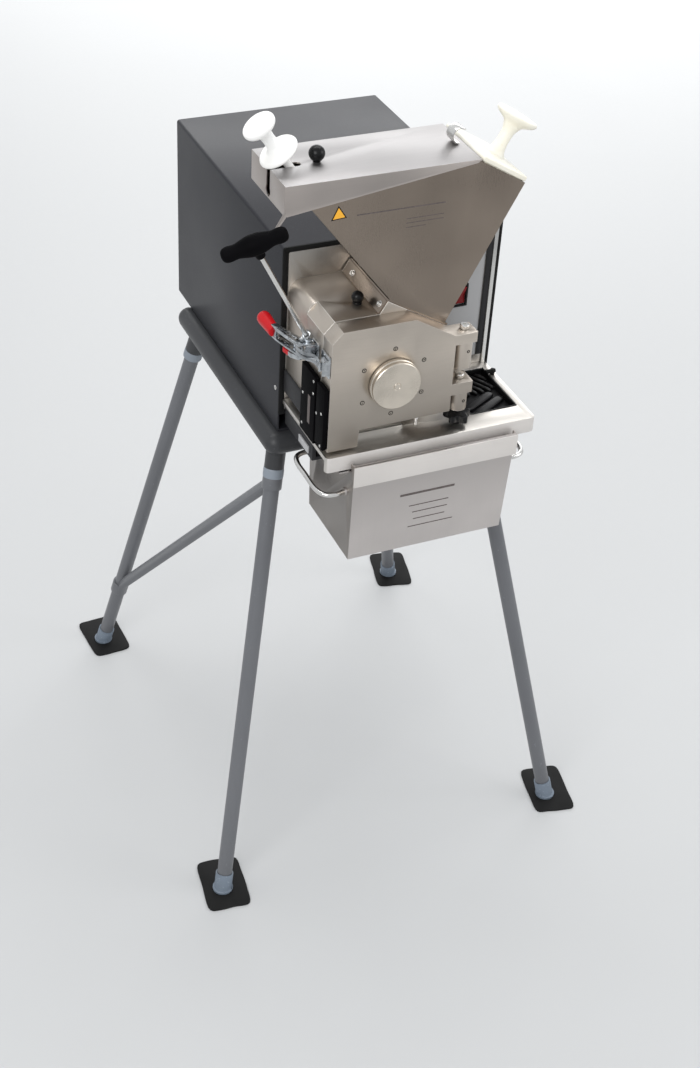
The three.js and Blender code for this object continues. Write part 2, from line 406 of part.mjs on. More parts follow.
for (const [side, s] of [['left', -1], ['right', 1]]) {   // plastic runners the drawer's rims slide on
  const span = (a, b) => [Math.min(s * a, s * b), Math.max(s * a, s * b)];
  add(`drawer_runner_${side}`, 'white_plastic', join(
    block(...span(RUN.in, TABLE_HALF - TABLE_T - GAP), RUN.y0, RUN.y1, RIM_Z0 - 6, TABLE_Z - TABLE_T - GAP),
    block(...span(RUN.ledge, TABLE_HALF - TABLE_T - GAP), RUN.y0, RUN.y1, RIM_Z0 - 6, RIM_Z0 - GAP)));
}
{   // ribbed rubber tray set in the table, ribs running slantwise
  const m = MAT, tray = prism(rounded(rect(m.x0 + GAP, m.x1 - GAP, m.y0 + GAP, m.y1 - GAP), 4.7, 4), 'xy',
    TABLE_Z - 16, TABLE_Z - 9);
  const wall = cut(prism(rounded(rect(m.x0 + GAP, m.x1 - GAP, m.y0 + GAP, m.y1 - GAP), 4.7, 4), 'xy', TABLE_Z - 16, TABLE_Z + 0.8),
    prism(rounded(rect(m.x0 + 3, m.x1 - 3, m.y0 + 3, m.y1 - 3), 3.5, 4), 'xy', TABLE_Z - 12, TABLE_Z + 3));
  const ribs = [];
  for (let k = 0; k < 7; k++) {
    const g = new THREE.BoxGeometry(150, 9, 9);
    g.rotateZ(THREE.MathUtils.degToRad(-33));
    g.translate((m.x0 + m.x1) / 2, m.y0 - 6 + k * 22, TABLE_Z - 8);
    ribs.push(manifold(g));
  }
  const inside = prism(rounded(rect(m.x0 + 2, m.x1 - 2, m.y0 + 2, m.y1 - 2), 4, 4), 'xy', TABLE_Z - 14, TABLE_Z + 2);
  add('drip_mat', 'rubber', join(tray, wall, join(...ribs).intersect(inside)));
}
{
  const y0 = -342, y1 = -234, t = 2.5, x0 = OUTLET[0], x1 = OUTLET[1];
  const duct = block(x0 + GAP, x1 - GAP, y0 + 1.5, y1 - 1.5, TABLE_Z - 14, CH_FOOT - GAP);
  const flange = block(x0 - 3, x1 + 3, y0 - 8, y1 + 5, CH_FOOT - 5, CH_FOOT - GAP);
  const bar = rod(V(x0 - 3, y0 - 8, CH_FOOT - 9), V(x1 + 3, y0 - 8, CH_FOOT - 9), 6, 24);
  add('outlet_duct', 'steel', cut(join(duct, flange, bar, block(x0 - 3, x1 + 3, y0 - 8, y0 + 4, CH_FOOT - 12, CH_FOOT - 4)),
    block(x0 + t + GAP, x1 - t - GAP, y0 + t + 2, y1 - t - 2, TABLE_Z - 20, CH_FOOT + 5)));
}
// five-lobed clamping knob standing on the table under the door
const STAR_X = 54, STAR_Y = -362;
{
  const lobes = [], n = 60;
  for (let i = 0; i < n; i++) {
    const t = 2 * Math.PI * i / n, r = 18 + 4.5 * Math.cos(5 * t);
    lobes.push([STAR_X + r * Math.cos(t), STAR_Y + r * Math.sin(t)]);
  }
  add('star_knob', 'black_plastic', join(prism(lobes, 'xy', TABLE_Z + 8, TABLE_Z + 20),
    rod(V(STAR_X, STAR_Y, TABLE_Z + GAP), V(STAR_X, STAR_Y, TABLE_Z + 9), 8, 24)));
}
add('door_buffer', 'rubber', join(rod(V(175.5, -252, TABLE_Z + GAP), V(175.5, -252, TABLE_Z + 9), 4, 20),
  rod(V(163, -252, TABLE_Z + 6), V(180, -252, TABLE_Z + 6), 3.4, 20)));
{
  const half = VESSEL_HALF, t = VESSEL_T, slant = 10, flare = 3;
  // tapered open box: bottom and top outlines joined as a hull built from four corner columns
  const frustum = (grow, z0, z1) => {
    const lower = [[-half + grow, VESSEL_FRONT + slant + grow], [half - grow, VESSEL_FRONT + slant + grow],
      [half - grow, VESSEL_BACK - 4 - grow], [-half + grow, VESSEL_BACK - 4 - grow]];
    const upper = [[-half - flare + grow, VESSEL_FRONT + grow], [half + flare - grow, VESSEL_FRONT + grow],
      [half + flare - grow, VESSEL_BACK - grow], [-half - flare + grow, VESSEL_BACK - grow]];
    const k = (z) => (z - VESSEL_Z) / (VESSEL_TOP - VESSEL_Z);
    const at = (z) => lower.map(([x, y], i) => [x + (upper[i][0] - x) * k(z), y + (upper[i][1] - y) * k(z)]);
    const a = at(z0), b = at(z1), pos = [...a.map(([x, y]) => [x, y, z0]), ...b.map(([x, y]) => [x, y, z1])].flat();
    const idx = [0, 2, 1, 0, 3, 2, 4, 5, 6, 4, 6, 7];
    for (let i = 0; i < 4; i++) { const j = (i + 1) % 4; idx.push(i, j, j + 4, i, j + 4, i + 4); }
    const g = new THREE.BufferGeometry();
    g.setAttribute('position', new THREE.Float32BufferAttribute(pos, 3));
    g.setIndex(idx);
    return manifold(g);
  };
  const parts = [frustum(0, VESSEL_Z, VESSEL_TOP)];
  // side and back rims, and the raised front lip with its returns
  parts.push(block(-half - 19, half + 19, VESSEL_FRONT + 20, VESSEL_BACK, RIM_Z0, RIM_Z0 + 2.5));
  parts.push(block(-half - 5, half + 5, VESSEL_FRONT - 4, VESSEL_FRONT + 3, VESSEL_TOP - 14, VESSEL_TOP + 18));
  for (const s of [-1, 1]) {
    const x0 = s * (half + 5), x1 = s * (half + 5 - t);
    parts.push(block(Math.min(x0, x1), Math.max(x0, x1), VESSEL_FRONT - 4, VESSEL_FRONT + 9, VESSEL_TOP - 14, VESSEL_TOP + 18));
  }
  let solid = cut(join(...parts), frustum(t, VESSEL_Z + t, VESSEL_TOP + 20));
  solid = join(solid, block(-half - 5, half + 5, VESSEL_FRONT - 4, VESSEL_FRONT - 4 + t, VESSEL_TOP - 14, VESSEL_TOP + 18));
  // rod handles welded to both sides
  for (const s of [-1, 1]) {
    const z = 855, wall = s * (half + 1.6), out = s * (half + 45);
    const pts = [V(wall, -376, z), V(s * (half + 22), -379, z), V(s * (half + 38), -372, z), V(out, -352, z),
      V(out, -315, z), V(out, -282, z), V(s * (half + 38), -262, z), V(s * (half + 22), -255, z), V(wall, -258, z)];
    solid = join(solid, tube(pts, 4.2, 22, 8), rod(V(s * (half - 1), -376, z), V(s * (half + 6), -376, z), 7, 20),
      rod(V(s * (half - 1), -258, z), V(s * (half + 6), -258, z), 7, 20));
  }
  solid = cut(solid, frustum(t, VESSEL_Z + t, VESSEL_TOP - 6));
  add('collecting_drawer', 'steel', solid);
}

// ================================================================ guard lock on the chamber's left
const LOCK_X0 = -186, LOCK_Z0 = TABLE_Z + GAP, LOCK_Z1 = 1054;
add('guard_lock', 'black_plastic', join(
  block(LOCK_X0, CH_LEFT - GAP, -346, -292, LOCK_Z0, LOCK_Z1),
  block(CH_LEFT - 2, -142, -346, -292, LOCK_Z0, 990 - GAP)));
add('guard_lock_actuator', 'black_plastic',
  block(LOCK_X0, CH_LEFT - GAP, DOOR_FRONT + 2, DOOR_BACK - 1, DOOR_FOOT + 4, LOCK_Z1 - 2));
add('cable_box', 'dark_box', prism(rounded(rect(-181, -134, 950, 990 - GAP), 3, 3), 'xz', -290, CH_BACK));

// ================================================================ over-centre clamp, left of the door
const PIV = { x: -197, y: -315 }, CLAMP_Z0 = 1078, CLAMP_Z1 = 1104;
const LUG_T = 3, HOOK_P = { x: -201, y: -298 }, CROSS_Y = -371;
// the T-handle hex key stands in a socket on the clamp and leans out to the left
const KEY_R = 3.6, KEY_FOOT = V(-189.5, -318, CLAMP_Z1 + 6), KEY_TOP = V(-281.6, -358.2, 1278.3);
const keyDir = KEY_TOP.clone().sub(KEY_FOOT).normalize();
{
  const base = block(CH_LEFT - GAP - 3, CH_LEFT - GAP, -342, -292, CLAMP_Z0 - 4, CLAMP_Z1 + 4);
  const lug = (z) => prism(rounded([[CH_LEFT - GAP - 1, -332], [PIV.x - 8, PIV.y - 8], [PIV.x - 8, PIV.y + 8],
    [CH_LEFT - GAP - 1, -298]], [0, 6, 6, 0], 4), 'xy', z, z + LUG_T);
  const at = (k) => KEY_FOOT.clone().addScaledVector(keyDir, k);   // leaning socket for the key
  add('clamp_base', 'zinc', cut(join(base, lug(CLAMP_Z0), lug(CLAMP_Z1 - LUG_T), rod(at(-3.4), at(7), 7, 24),
    rod(V(PIV.x, PIV.y, CLAMP_Z0 - 0.2), V(PIV.x, PIV.y, CLAMP_Z1 + 2.5), 3, 20)), rod(at(-1), at(9), KEY_R + GAP, 20)));
}
const LEV_Z0 = CLAMP_Z0 + LUG_T + GAP, LEV_Z1 = CLAMP_Z1 - LUG_T - GAP;
const lever = { x0: PIV.x, y0: PIV.y, x1: -217, y1: -262, x2: -221, y2: -205 };
{
  const plate = (z0, z1) => prism(rounded([[PIV.x + 7, PIV.y - 7], [PIV.x + 7, PIV.y + 6], [-196, -290], [-208, -262],
    [-211, -248], [-221.5, -248], [-220, -264], [-213, -292], [PIV.x - 7, PIV.y - 7]], 3, 3), 'xy', z0, z1);
  const solid = join(plate(LEV_Z0, LEV_Z0 + 3), plate(LEV_Z1 - 3, LEV_Z1),
    prism(rounded([[-211.5, -262], [-214.2, -226], [-221.6, -226], [-219.4, -264]], 1.5, 2), 'xy', LEV_Z0 + 2.9, LEV_Z1 - 2.9));
  add('clamp_lever', 'zinc', cut(solid, rod(V(PIV.x, PIV.y, CLAMP_Z0), V(PIV.x, PIV.y, CLAMP_Z1), 3 + GAP, 20),
    rod(V(HOOK_P.x, HOOK_P.y, CLAMP_Z0), V(HOOK_P.x, HOOK_P.y, CLAMP_Z1), 2.5 + GAP, 20)));
}
{
  const z = (LEV_Z0 + LEV_Z1) / 2, from = V(-218.4, -246, z), dir = V(-0.07, 1, 0);
  const grip = turned([[0, 0], [11.2, 0], [11.8, 3], [12.2, 18], [12.6, 34], [11.4, 41], [7.5, 44.5], [0, 46]], from, dir, 32);
  const core = join(block(-222.4, -212.4, -262, -225.7, LEV_Z0 + 2.6, LEV_Z1 - 2.6));
  add('clamp_grip', 'red_plastic', cut(grip, core));
}
{   // hook rod: eye on the lever, two side rods, crossbar resting in the door's catch
  const z0 = LEV_Z0 + 3 + GAP + 2.8, z1 = LEV_Z1 - 3 - GAP - 2.8, x1 = -190.6;
  const loop = (z, s) => tube([V(HOOK_P.x, HOOK_P.y, z), V(PIV.x - 9.5, PIV.y + 2, z), V(PIV.x - 6, PIV.y - 20, z + s * 0.4),
    V(x1 - 1, -348, z + s * 1.5), V(x1, CROSS_Y, z + s * 2)], 2.4, 14, 8);
  add('clamp_hook', 'zinc', join(loop(z0, -1), loop(z1, 1),
    rod(V(HOOK_P.x, HOOK_P.y, LEV_Z0 + GAP), V(HOOK_P.x, HOOK_P.y, LEV_Z1 - GAP), 2.5, 20),
    rod(V(x1, CROSS_Y, z0 - 4.2), V(x1, CROSS_Y, z1 + 4.2), 2.6, 16)));
}
{
  const z0 = CLAMP_Z0 + 1, z1 = CLAMP_Z1 - 1;
  const plate = block(CH_LEFT - GAP - 3, CH_LEFT - GAP, DOOR_FRONT + 1.5, DOOR_BACK - 1, z0 - 6, z1 + 6);
  const lip = prism([[CH_LEFT - 2, DOOR_FRONT + 1.5], [-190, DOOR_FRONT + 1.5], [-191.5, DOOR_FRONT + 4.5],
    [CH_LEFT - 2, DOOR_FRONT + 5.5]], 'xy', z0, z1);
  add('door_catch', 'zinc', join(plate, lip));
}
{   // small trigger under the lever
  const z = CLAMP_Z0 - GAP, x = PIV.x + 2, y = PIV.y + 11;
  add('clamp_release', 'red_plastic', join(rod(V(x, y, z - 11), V(x, y, z), 4, 20),
    prism(rounded([[x - 3, y - 4], [x + 4, y - 3], [x + 2, y + 10], [x - 8, y + 34], [x - 17, y + 30], [x - 12, y + 8]], 3, 4),
      'xy', z - 12, z - 4)));
}
add('key_rod', 'steel', rod(KEY_FOOT.clone().addScaledVector(keyDir, -1 + GAP), KEY_TOP.clone().addScaledVector(keyDir, 22), KEY_R, 6));
{
  const bar = V(0.863, -0.31, 0.398).normalize(), c = KEY_TOP.clone().addScaledVector(keyDir, 30);
  const out = (s) => c.clone().addScaledVector(bar, s);
  const boss = rod(KEY_TOP.clone().addScaledVector(keyDir, 4), c, 7.4, 16, 10);
  const solid = join(rod(out(-38), out(38), 9.4, 16), ball(out(-38), 10.8, 14, 8), ball(out(38), 10.8, 14, 8),
    ball(out(0), 15, 14, 8), ball(out(-9), 13.5, 14, 8), ball(out(9), 13.5, 14, 8), boss);
  add('key_handle', 'black_plastic', cut(solid,
    rod(KEY_TOP.clone().addScaledVector(keyDir, -10), KEY_TOP.clone().addScaledVector(keyDir, 22.5), KEY_R + GAP, 20)));
}

// ================================================================ hopper on the slope
// profile of the sheet funnel in X-Z, as inner points from the slope up to the two mouths
const lowL = onSlope(-74, 3.2), lowR = onSlope(21, 3.2);
const RIM_R = { x: 134, z: 1329 }, RIM_M = { x: 57, z: 1373.5 };
const hopOuter = [[lowL.x, lowL.z], [lowR.x, lowR.z], [RIM_R.x, RIM_R.z], [RIM_M.x, RIM_M.z],
  [RIM_M.x - 8, COVER_TOP - 3.6], [COVER_LEFT + 4, COVER_TOP - 3.6], [COVER_LEFT + 4, COVER_TOP - 47], [-205, COVER_TOP - 42]];
const inset = HOP_T;
{
  const shell = prism(hopOuter, 'xz', HOP_FRONT, HOP_BACK);
  const wallL = V(-205 - lowL.x, 0, COVER_TOP - 42 - lowL.z).normalize(), wallR = V(RIM_R.x - lowR.x, 0, RIM_R.z - lowR.z).normalize();
  const nL = V(wallL.z, 0, -wallL.x), nR = V(-wallR.z, 0, wallR.x);
  const a = lowL.clone().addScaledVector(nL, inset).addScaledVector(wallL, -20);
  const b = lowR.clone().addScaledVector(nR, inset).addScaledVector(wallR, -20);
  const c = V(RIM_R.x, 0, RIM_R.z).addScaledVector(nR, inset).addScaledVector(wallR, 30);
  const d = V(-205, 0, COVER_TOP - 42).addScaledVector(nL, inset);
  const inner = [[a.x, a.z], [b.x, b.z], [c.x, c.z], [c.x - 40, c.z + 70], [COVER_LEFT - 10, 1420],
    [COVER_LEFT - 10, COVER_TOP - 44 + 0.2], [-215, COVER_TOP - 39], [d.x, d.z + 1]];
  const cavity = prism(inner, 'xz', HOP_FRONT + HOP_T, HOP_BACK - HOP_T);
  // flange on the slope and the folded strip on the ridge's left face
  const f = (x0, x1, u0, u1) => [onSlope(x0, u0), onSlope(x1, u0), onSlope(x1, u1), onSlope(x0, u1)].map((v) => [v.x, v.z]);
  const flange = prism(f(RIDGE_X - 2, 26, GAP, 3.2 + GAP), 'xz', HOP_FRONT - 0.2, CH_BACK - 4);
  const left = [[RIDGE_X, slopeZ(RIDGE_X)], [RIDGE_FOOT, DECK_Z]];
  const nx = -(left[0][1] - left[1][1]), nz = left[0][0] - left[1][0], nl = Math.hypot(nx, nz);
  const o = (p, k) => [p[0] + nx / nl * k, p[1] + nz / nl * k];
  const low = onSlope(RIDGE_X, GAP), top = onSlope(RIDGE_X, 3.2 + GAP);
  const strip = prism([o(left[1], GAP), o(left[0], GAP), [low.x, low.z], [top.x, top.z], o(left[0], 3),
    o([left[1][0] - 0.2, left[1][1] + 0.4], 3)], 'xz', HOP_FRONT - 0.2, CH_BACK - 4);
  let hop = join(cut(shell, cavity), cut(join(flange, strip), prism([[a.x, a.z], [b.x, b.z], [b.x + 30, b.z + 60], [a.x - 30, a.z + 60]],
    'xz', HOP_FRONT + HOP_T, HOP_BACK - HOP_T)));
  add('hopper', 'steel', hop);
}
const CHUTE_Y = (HOP_FRONT + HOP_BACK) / 2;
// cover channel over the hopper: top, wedge-shaped front and back aprons, slotted left end
const COV_T = 2.5, COV_F = HOP_FRONT - GAP - COV_T, COV_B = HOP_BACK + GAP + COV_T;
const APRON = [[COVER_LEFT, COVER_TOP], [COVER_LEFT, COVER_TOP - 45], [COVER_LEFT + 4, COVER_TOP - 46],
  [COVER_RIGHT - 6, COVER_TOP - 5], [COVER_RIGHT, COVER_TOP]].reverse();
const STEM_R = 6, SLOT = STEM_R + 0.6;
const PUSH_A = V(-Math.sin(0.62), 0, Math.cos(0.62)), PUSH_O = V(-231, CHUTE_Y, 1398);
{
  const roof = prism([[COVER_LEFT, COVER_TOP - COV_T], [COVER_RIGHT, COVER_TOP - COV_T], [COVER_RIGHT, COVER_TOP],
    [COVER_LEFT, COVER_TOP]], 'xz', COV_F, COV_B);
  const aprons = join(prism(APRON, 'xz', COV_F, COV_F + COV_T), prism(APRON, 'xz', COV_B - COV_T, COV_B));
  const end = block(COVER_LEFT, COVER_LEFT + COV_T, COV_F, COV_B, COVER_TOP - 45, COVER_TOP);
  const tab = prism([[COVER_LEFT, COVER_TOP - 40], [COVER_LEFT + 2, COVER_TOP - 40], [COVER_LEFT + 2, COVER_TOP - 47],
    [COVER_LEFT - 14, COVER_TOP - 68], [COVER_LEFT - 16, COVER_TOP - 67]], 'xz', COV_F, COV_F + 3.5);
  let cover = join(roof, aprons, end, tab);
  cover = cut(cover,
    block(COVER_LEFT - 1, COVER_LEFT + 42, CHUTE_Y - SLOT, CHUTE_Y + SLOT, COVER_TOP - 20, COVER_TOP + 1),
    rod(V(COVER_LEFT + 42, CHUTE_Y, COVER_TOP - 10), V(COVER_LEFT + 42, CHUTE_Y, COVER_TOP + 2), SLOT, 24),
    block(COVER_LEFT - 1, COVER_LEFT + COV_T + 1, CHUTE_Y - SLOT, CHUTE_Y + SLOT, COVER_TOP - 34, COVER_TOP + 1),
    rod(V(COVER_LEFT - 1, CHUTE_Y, COVER_TOP - 34), V(COVER_LEFT + COV_T + 1, CHUTE_Y, COVER_TOP - 34), 9, 24));
  add('hopper_cover', 'steel', cover);
}
const KNOB_X = -172;
add('cover_knob', 'black_plastic', join(rod(V(KNOB_X, CHUTE_Y, COVER_TOP + GAP), V(KNOB_X, CHUTE_Y, COVER_TOP + 8), 5, 24),
  ball(V(KNOB_X, CHUTE_Y, COVER_TOP + 16), 12)));
{   // curved sheet stop on the cover's right end, reaching over the inlet
  const inner = [], outer = [], cx = COVER_RIGHT - 19, cz = COVER_TOP + 21, r = 20;
  for (let k = 0; k <= 8; k++) {
    const t = THREE.MathUtils.degToRad(-92 + 9.5 * k);
    inner.push([cx + (r - 2) * Math.cos(t), cz + (r - 2) * Math.sin(t)]);
    outer.push([cx + r * Math.cos(t), cz + r * Math.sin(t)]);
  }
  const low = COVER_TOP + GAP, strap = outer.map(([x, z]) => [x, Math.max(z, low)]);
  add('cover_hook', 'steel', prism([[cx - 14, low], ...strap, ...inner.reverse(), [cx - 14, low + 2.5]], 'xz',
    CHUTE_Y - 9, CHUTE_Y + 11));
}
// white pushers: left through the cover's slot, right in the sloped inlet
{
  const prof = [[0, 0], [30, 0], [30.8, 3], [28.5, 6.5], [14, 10], [9.8, 17], [9.2, 28], [9.8, 38], [14, 45], [23.5, 49],
    [25.6, 53], [24.5, 58], [0, 60]];
  const head = turned(prof, PUSH_O, PUSH_A, 32);
  const stem = rod(PUSH_O.clone().addScaledVector(PUSH_A, -46), PUSH_O.clone().addScaledVector(PUSH_A, 3), STEM_R, 24);
  add('pusher_left', 'white_plastic', join(head, stem));
}
{
  const mid = V((RIM_R.x + RIM_M.x) / 2, CHUTE_Y, (RIM_R.z + RIM_M.z) / 2);
  const a = slopeUp.clone(), w = Math.hypot(RIM_R.x - RIM_M.x, RIM_R.z - RIM_M.z) / 2 - HOP_T - 4;
  const p = (along, up) => [mid.x + slopeDir.x * along + a.x * up, mid.z + slopeDir.z * along + a.z * up];
  const plug = prism([p(-w, -26), p(w, -26), p(w, 8), p(-w, 8)], 'xz', HOP_FRONT + HOP_T + 0.6, HOP_BACK - HOP_T - 0.6);
  const lid = prism([p(-w - 5, 1.2), p(w + 5.5, 1.2), p(w + 5.5, 9), p(-w - 5, 9)], 'xz', HOP_FRONT - 0.5, HOP_BACK + 0.5);
  const origin = mid.clone().addScaledVector(a, 5).addScaledVector(slopeDir, 15);
  const knob = turned([[0, 0], [17, 0], [17, 5], [12, 11], [9.5, 24], [10, 42], [15, 54], [31, 62], [34, 66], [32.5, 70],
    [0, 72]], origin, a, 40);
  add('pusher_right', 'ivory_plastic', join(plug, lid, knob));
}

// the part's origin is the middle of its footprint, on the floor
model.updateMatrixWorld(true);
const middle = new THREE.Box3().setFromObject(model).getCenter(V(0, 0, 0));
for (const mesh of model.children) mesh.geometry.translate(-middle.x, -middle.y, 0);

export default model;
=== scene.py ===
# %% [markdown]
# A cutting mill on a splayed tube stand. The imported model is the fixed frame: its pieces, joints and
# box are already right, so this lesson only gives each piece its finished form and its surface.
# Every length below is in metres, or in millimetres where a name ends in _mm.

# %% Load the fixed frame
import json
import math

import bpy
import bmesh
from mathutils import Matrix, Vector


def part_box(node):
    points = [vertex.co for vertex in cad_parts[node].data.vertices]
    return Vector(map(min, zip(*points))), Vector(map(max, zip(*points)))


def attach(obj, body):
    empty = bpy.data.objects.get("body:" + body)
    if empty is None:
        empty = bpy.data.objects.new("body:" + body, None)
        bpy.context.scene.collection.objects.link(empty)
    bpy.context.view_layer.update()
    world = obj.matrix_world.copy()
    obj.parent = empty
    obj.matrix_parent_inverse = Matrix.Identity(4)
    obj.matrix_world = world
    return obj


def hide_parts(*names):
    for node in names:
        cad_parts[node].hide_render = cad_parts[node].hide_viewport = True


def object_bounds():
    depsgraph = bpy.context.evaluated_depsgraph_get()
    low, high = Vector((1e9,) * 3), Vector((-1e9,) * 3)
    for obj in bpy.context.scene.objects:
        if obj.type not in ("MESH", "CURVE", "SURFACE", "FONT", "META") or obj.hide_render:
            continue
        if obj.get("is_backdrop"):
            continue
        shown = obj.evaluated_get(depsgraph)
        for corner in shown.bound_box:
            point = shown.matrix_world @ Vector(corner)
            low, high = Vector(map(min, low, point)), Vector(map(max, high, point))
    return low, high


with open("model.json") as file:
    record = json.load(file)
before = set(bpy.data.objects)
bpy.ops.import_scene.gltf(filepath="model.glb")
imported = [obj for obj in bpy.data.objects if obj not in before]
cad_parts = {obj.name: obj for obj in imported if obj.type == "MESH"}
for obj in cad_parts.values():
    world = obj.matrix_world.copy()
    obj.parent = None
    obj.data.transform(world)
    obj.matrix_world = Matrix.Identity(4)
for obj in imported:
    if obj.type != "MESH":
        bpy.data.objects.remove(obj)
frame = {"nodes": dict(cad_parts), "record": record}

cad_low, cad_high = (Vector(corner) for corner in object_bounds())
print("frame box", [round(v, 4) for v in (*cad_low, *cad_high)])

# %% [markdown]
# The mill was laid out from the casing's centre line and a plane 207 mm in front of that origin.
# Reading both from the casing's own box keeps every added screw and ring in step with the frame.

# %% Find the casing's centre line
FACE_OFFSET_MM = 207.0
casing_low, casing_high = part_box("casing_shell")
CENTRE = Vector(((casing_low.x + casing_high.x) / 2, casing_low.y + FACE_OFFSET_MM / 1000, 0))


def at(x_mm, y_mm, z_mm):
    """A point given in millimetres from the casing's centre line."""
    return CENTRE + Vector((x_mm, y_mm, z_mm)) / 1000


print("casing centre line at", [round(v, 5) for v in CENTRE])

# %% [markdown]
# The camera stands high and to the left of the machine's front, and is rolled a little, as when it is
# held by hand. Its three turns are yaw to the right, pitch down and roll.

# %% Stand the camera
CAMERA_PLACE_MM = (-1063.9, -2316.9, 2397.7)
YAW, PITCH, ROLL = 0.44994, 0.64763, 0.06435
LENS_MM, SENSOR_MM = 56.824, 36.0


def camera_turn(yaw, pitch, roll):
    forward = Vector((math.sin(yaw) * math.cos(pitch), math.cos(yaw) * math.cos(pitch), -math.sin(pitch)))
    level = Vector((math.cos(yaw), -math.sin(yaw), 0))
    up = level.cross(forward)
    right = level * math.cos(roll) + up * math.sin(roll)
    return Matrix((right, -level * math.sin(roll) + up * math.cos(roll), -forward)).transposed()


camera = bpy.data.objects.new("studio_camera", bpy.data.cameras.new("studio_camera"))
bpy.context.scene.collection.objects.link(camera)
camera.data.lens, camera.data.sensor_width = LENS_MM, SENSOR_MM
camera.matrix_world = Matrix.Translation(at(*CAMERA_PLACE_MM)) @ camera_turn(YAW, PITCH, ROLL).to_4x4()
bpy.context.scene.camera = camera
print("camera at", [round(v, 3) for v in camera.location])

# %% [markdown]
# A plain pale floor, a bright even sky and four large soft lamps: one big window to the left, a weaker
# one to the right, a strip overhead that draws a soft line along rounded edges, and one that keeps the
# far floor nearly white.

# %% Light the studio
FLOOR_SIZE = 40.0
LAMPS = {   # name: (place in metres, aim in metres, width, height, watts)
    "window_left": ((-2.6, -2.4, 2.9), (0.0, 0.0, 0.9), 2.2, 2.0, 60.0),
    "window_right": ((2.7, -1.8, 2.2), (0.0, -0.1, 0.9), 1.8, 1.8, 26.0),
    "strip_above": ((0.2, 0.5, 3.4), (0.0, -0.1, 1.2), 2.6, 0.9, 34.0),
    "far_floor": ((2.6, 5.6, 2.6), (2.2, 5.2, 0.0), 6.0, 4.0, 230.0),
}

scene = bpy.context.scene
scene.view_settings.view_transform = "Standard"
world = bpy.data.worlds.new("pale_room")
scene.world = world
world.use_nodes = True
sky = world.node_tree.nodes["Background"]
sky.inputs["Color"].default_value = (0.93, 0.95, 0.97, 1)
sky.inputs["Strength"].default_value = 0.78

for lamp_name, (place, target, width, height, watts) in LAMPS.items():
    light = bpy.data.lights.new(lamp_name, "AREA")
    light.shape, light.size, light.size_y, light.energy = "RECTANGLE", width, height, watts
    lamp = bpy.data.objects.new(lamp_name, light)
    scene.collection.objects.link(lamp)
    lamp.location = place
    lamp.rotation_euler = (Vector(target) - Vector(place)).to_track_quat("-Z", "Y").to_euler()
print("lamps", list(LAMPS))

# %% [markdown]
# A finish is a Principled shader whose colour, roughness and bump are driven by noise in Object
# coordinates. One maker does them all: `patch` is broad cloudy variation of colour, `grain` the fine
# relief that is left by blasting, moulding or spraying, and `stretch` draws a pattern out along a
# direction, as brushing does. Values that are the same everywhere are set on the shader itself.

# %% A maker of finishes
def pattern(tree, stretch, scale, detail, turned=(0, 0, 0)):
    nodes, links = tree.nodes, tree.links
    place = nodes.new("ShaderNodeTexCoord")
    mapping = nodes.new("ShaderNodeMapping")
    mapping.inputs["Rotation"].default_value = turned
    mapping.inputs["Scale"].default_value = stretch
    noise = nodes.new("ShaderNodeTexNoise")
    noise.inputs["Scale"].default_value = scale
    noise.inputs["Detail"].default_value = detail
    links.new(place.outputs["Object"], mapping.inputs["Vector"])
    links.new(mapping.outputs["Vector"], noise.inputs["Vector"])
    return noise.outputs["Fac"]


def spread(tree, value, low, high, start=0.3, end=0.7):
    """Maps a noise value from start..end to low..high."""
    node = tree.nodes.new("ShaderNodeMapRange")
    for name, number in (("From Min", start), ("From Max", end), ("To Min", low), ("To Max", high)):
        node.inputs[name].default_value = number
    tree.links.new(value, node.inputs["Value"])
    return node.outputs["Result"]


def blend_colours(tree, factor, first, second):
    node = tree.nodes.new("ShaderNodeMix")
    node.data_type = "RGBA"
    for socket, colour in ((node.inputs[6], first), (node.inputs[7], second)):
        if isinstance(colour, tuple):
            socket.default_value = (*colour, 1)
        else:
            tree.links.new(colour, socket)
    tree.links.new(factor, node.inputs[0])
    return node.outputs[2]


def shade(colour, k):
    return tuple(min(1.0, c * k) for c in colour)


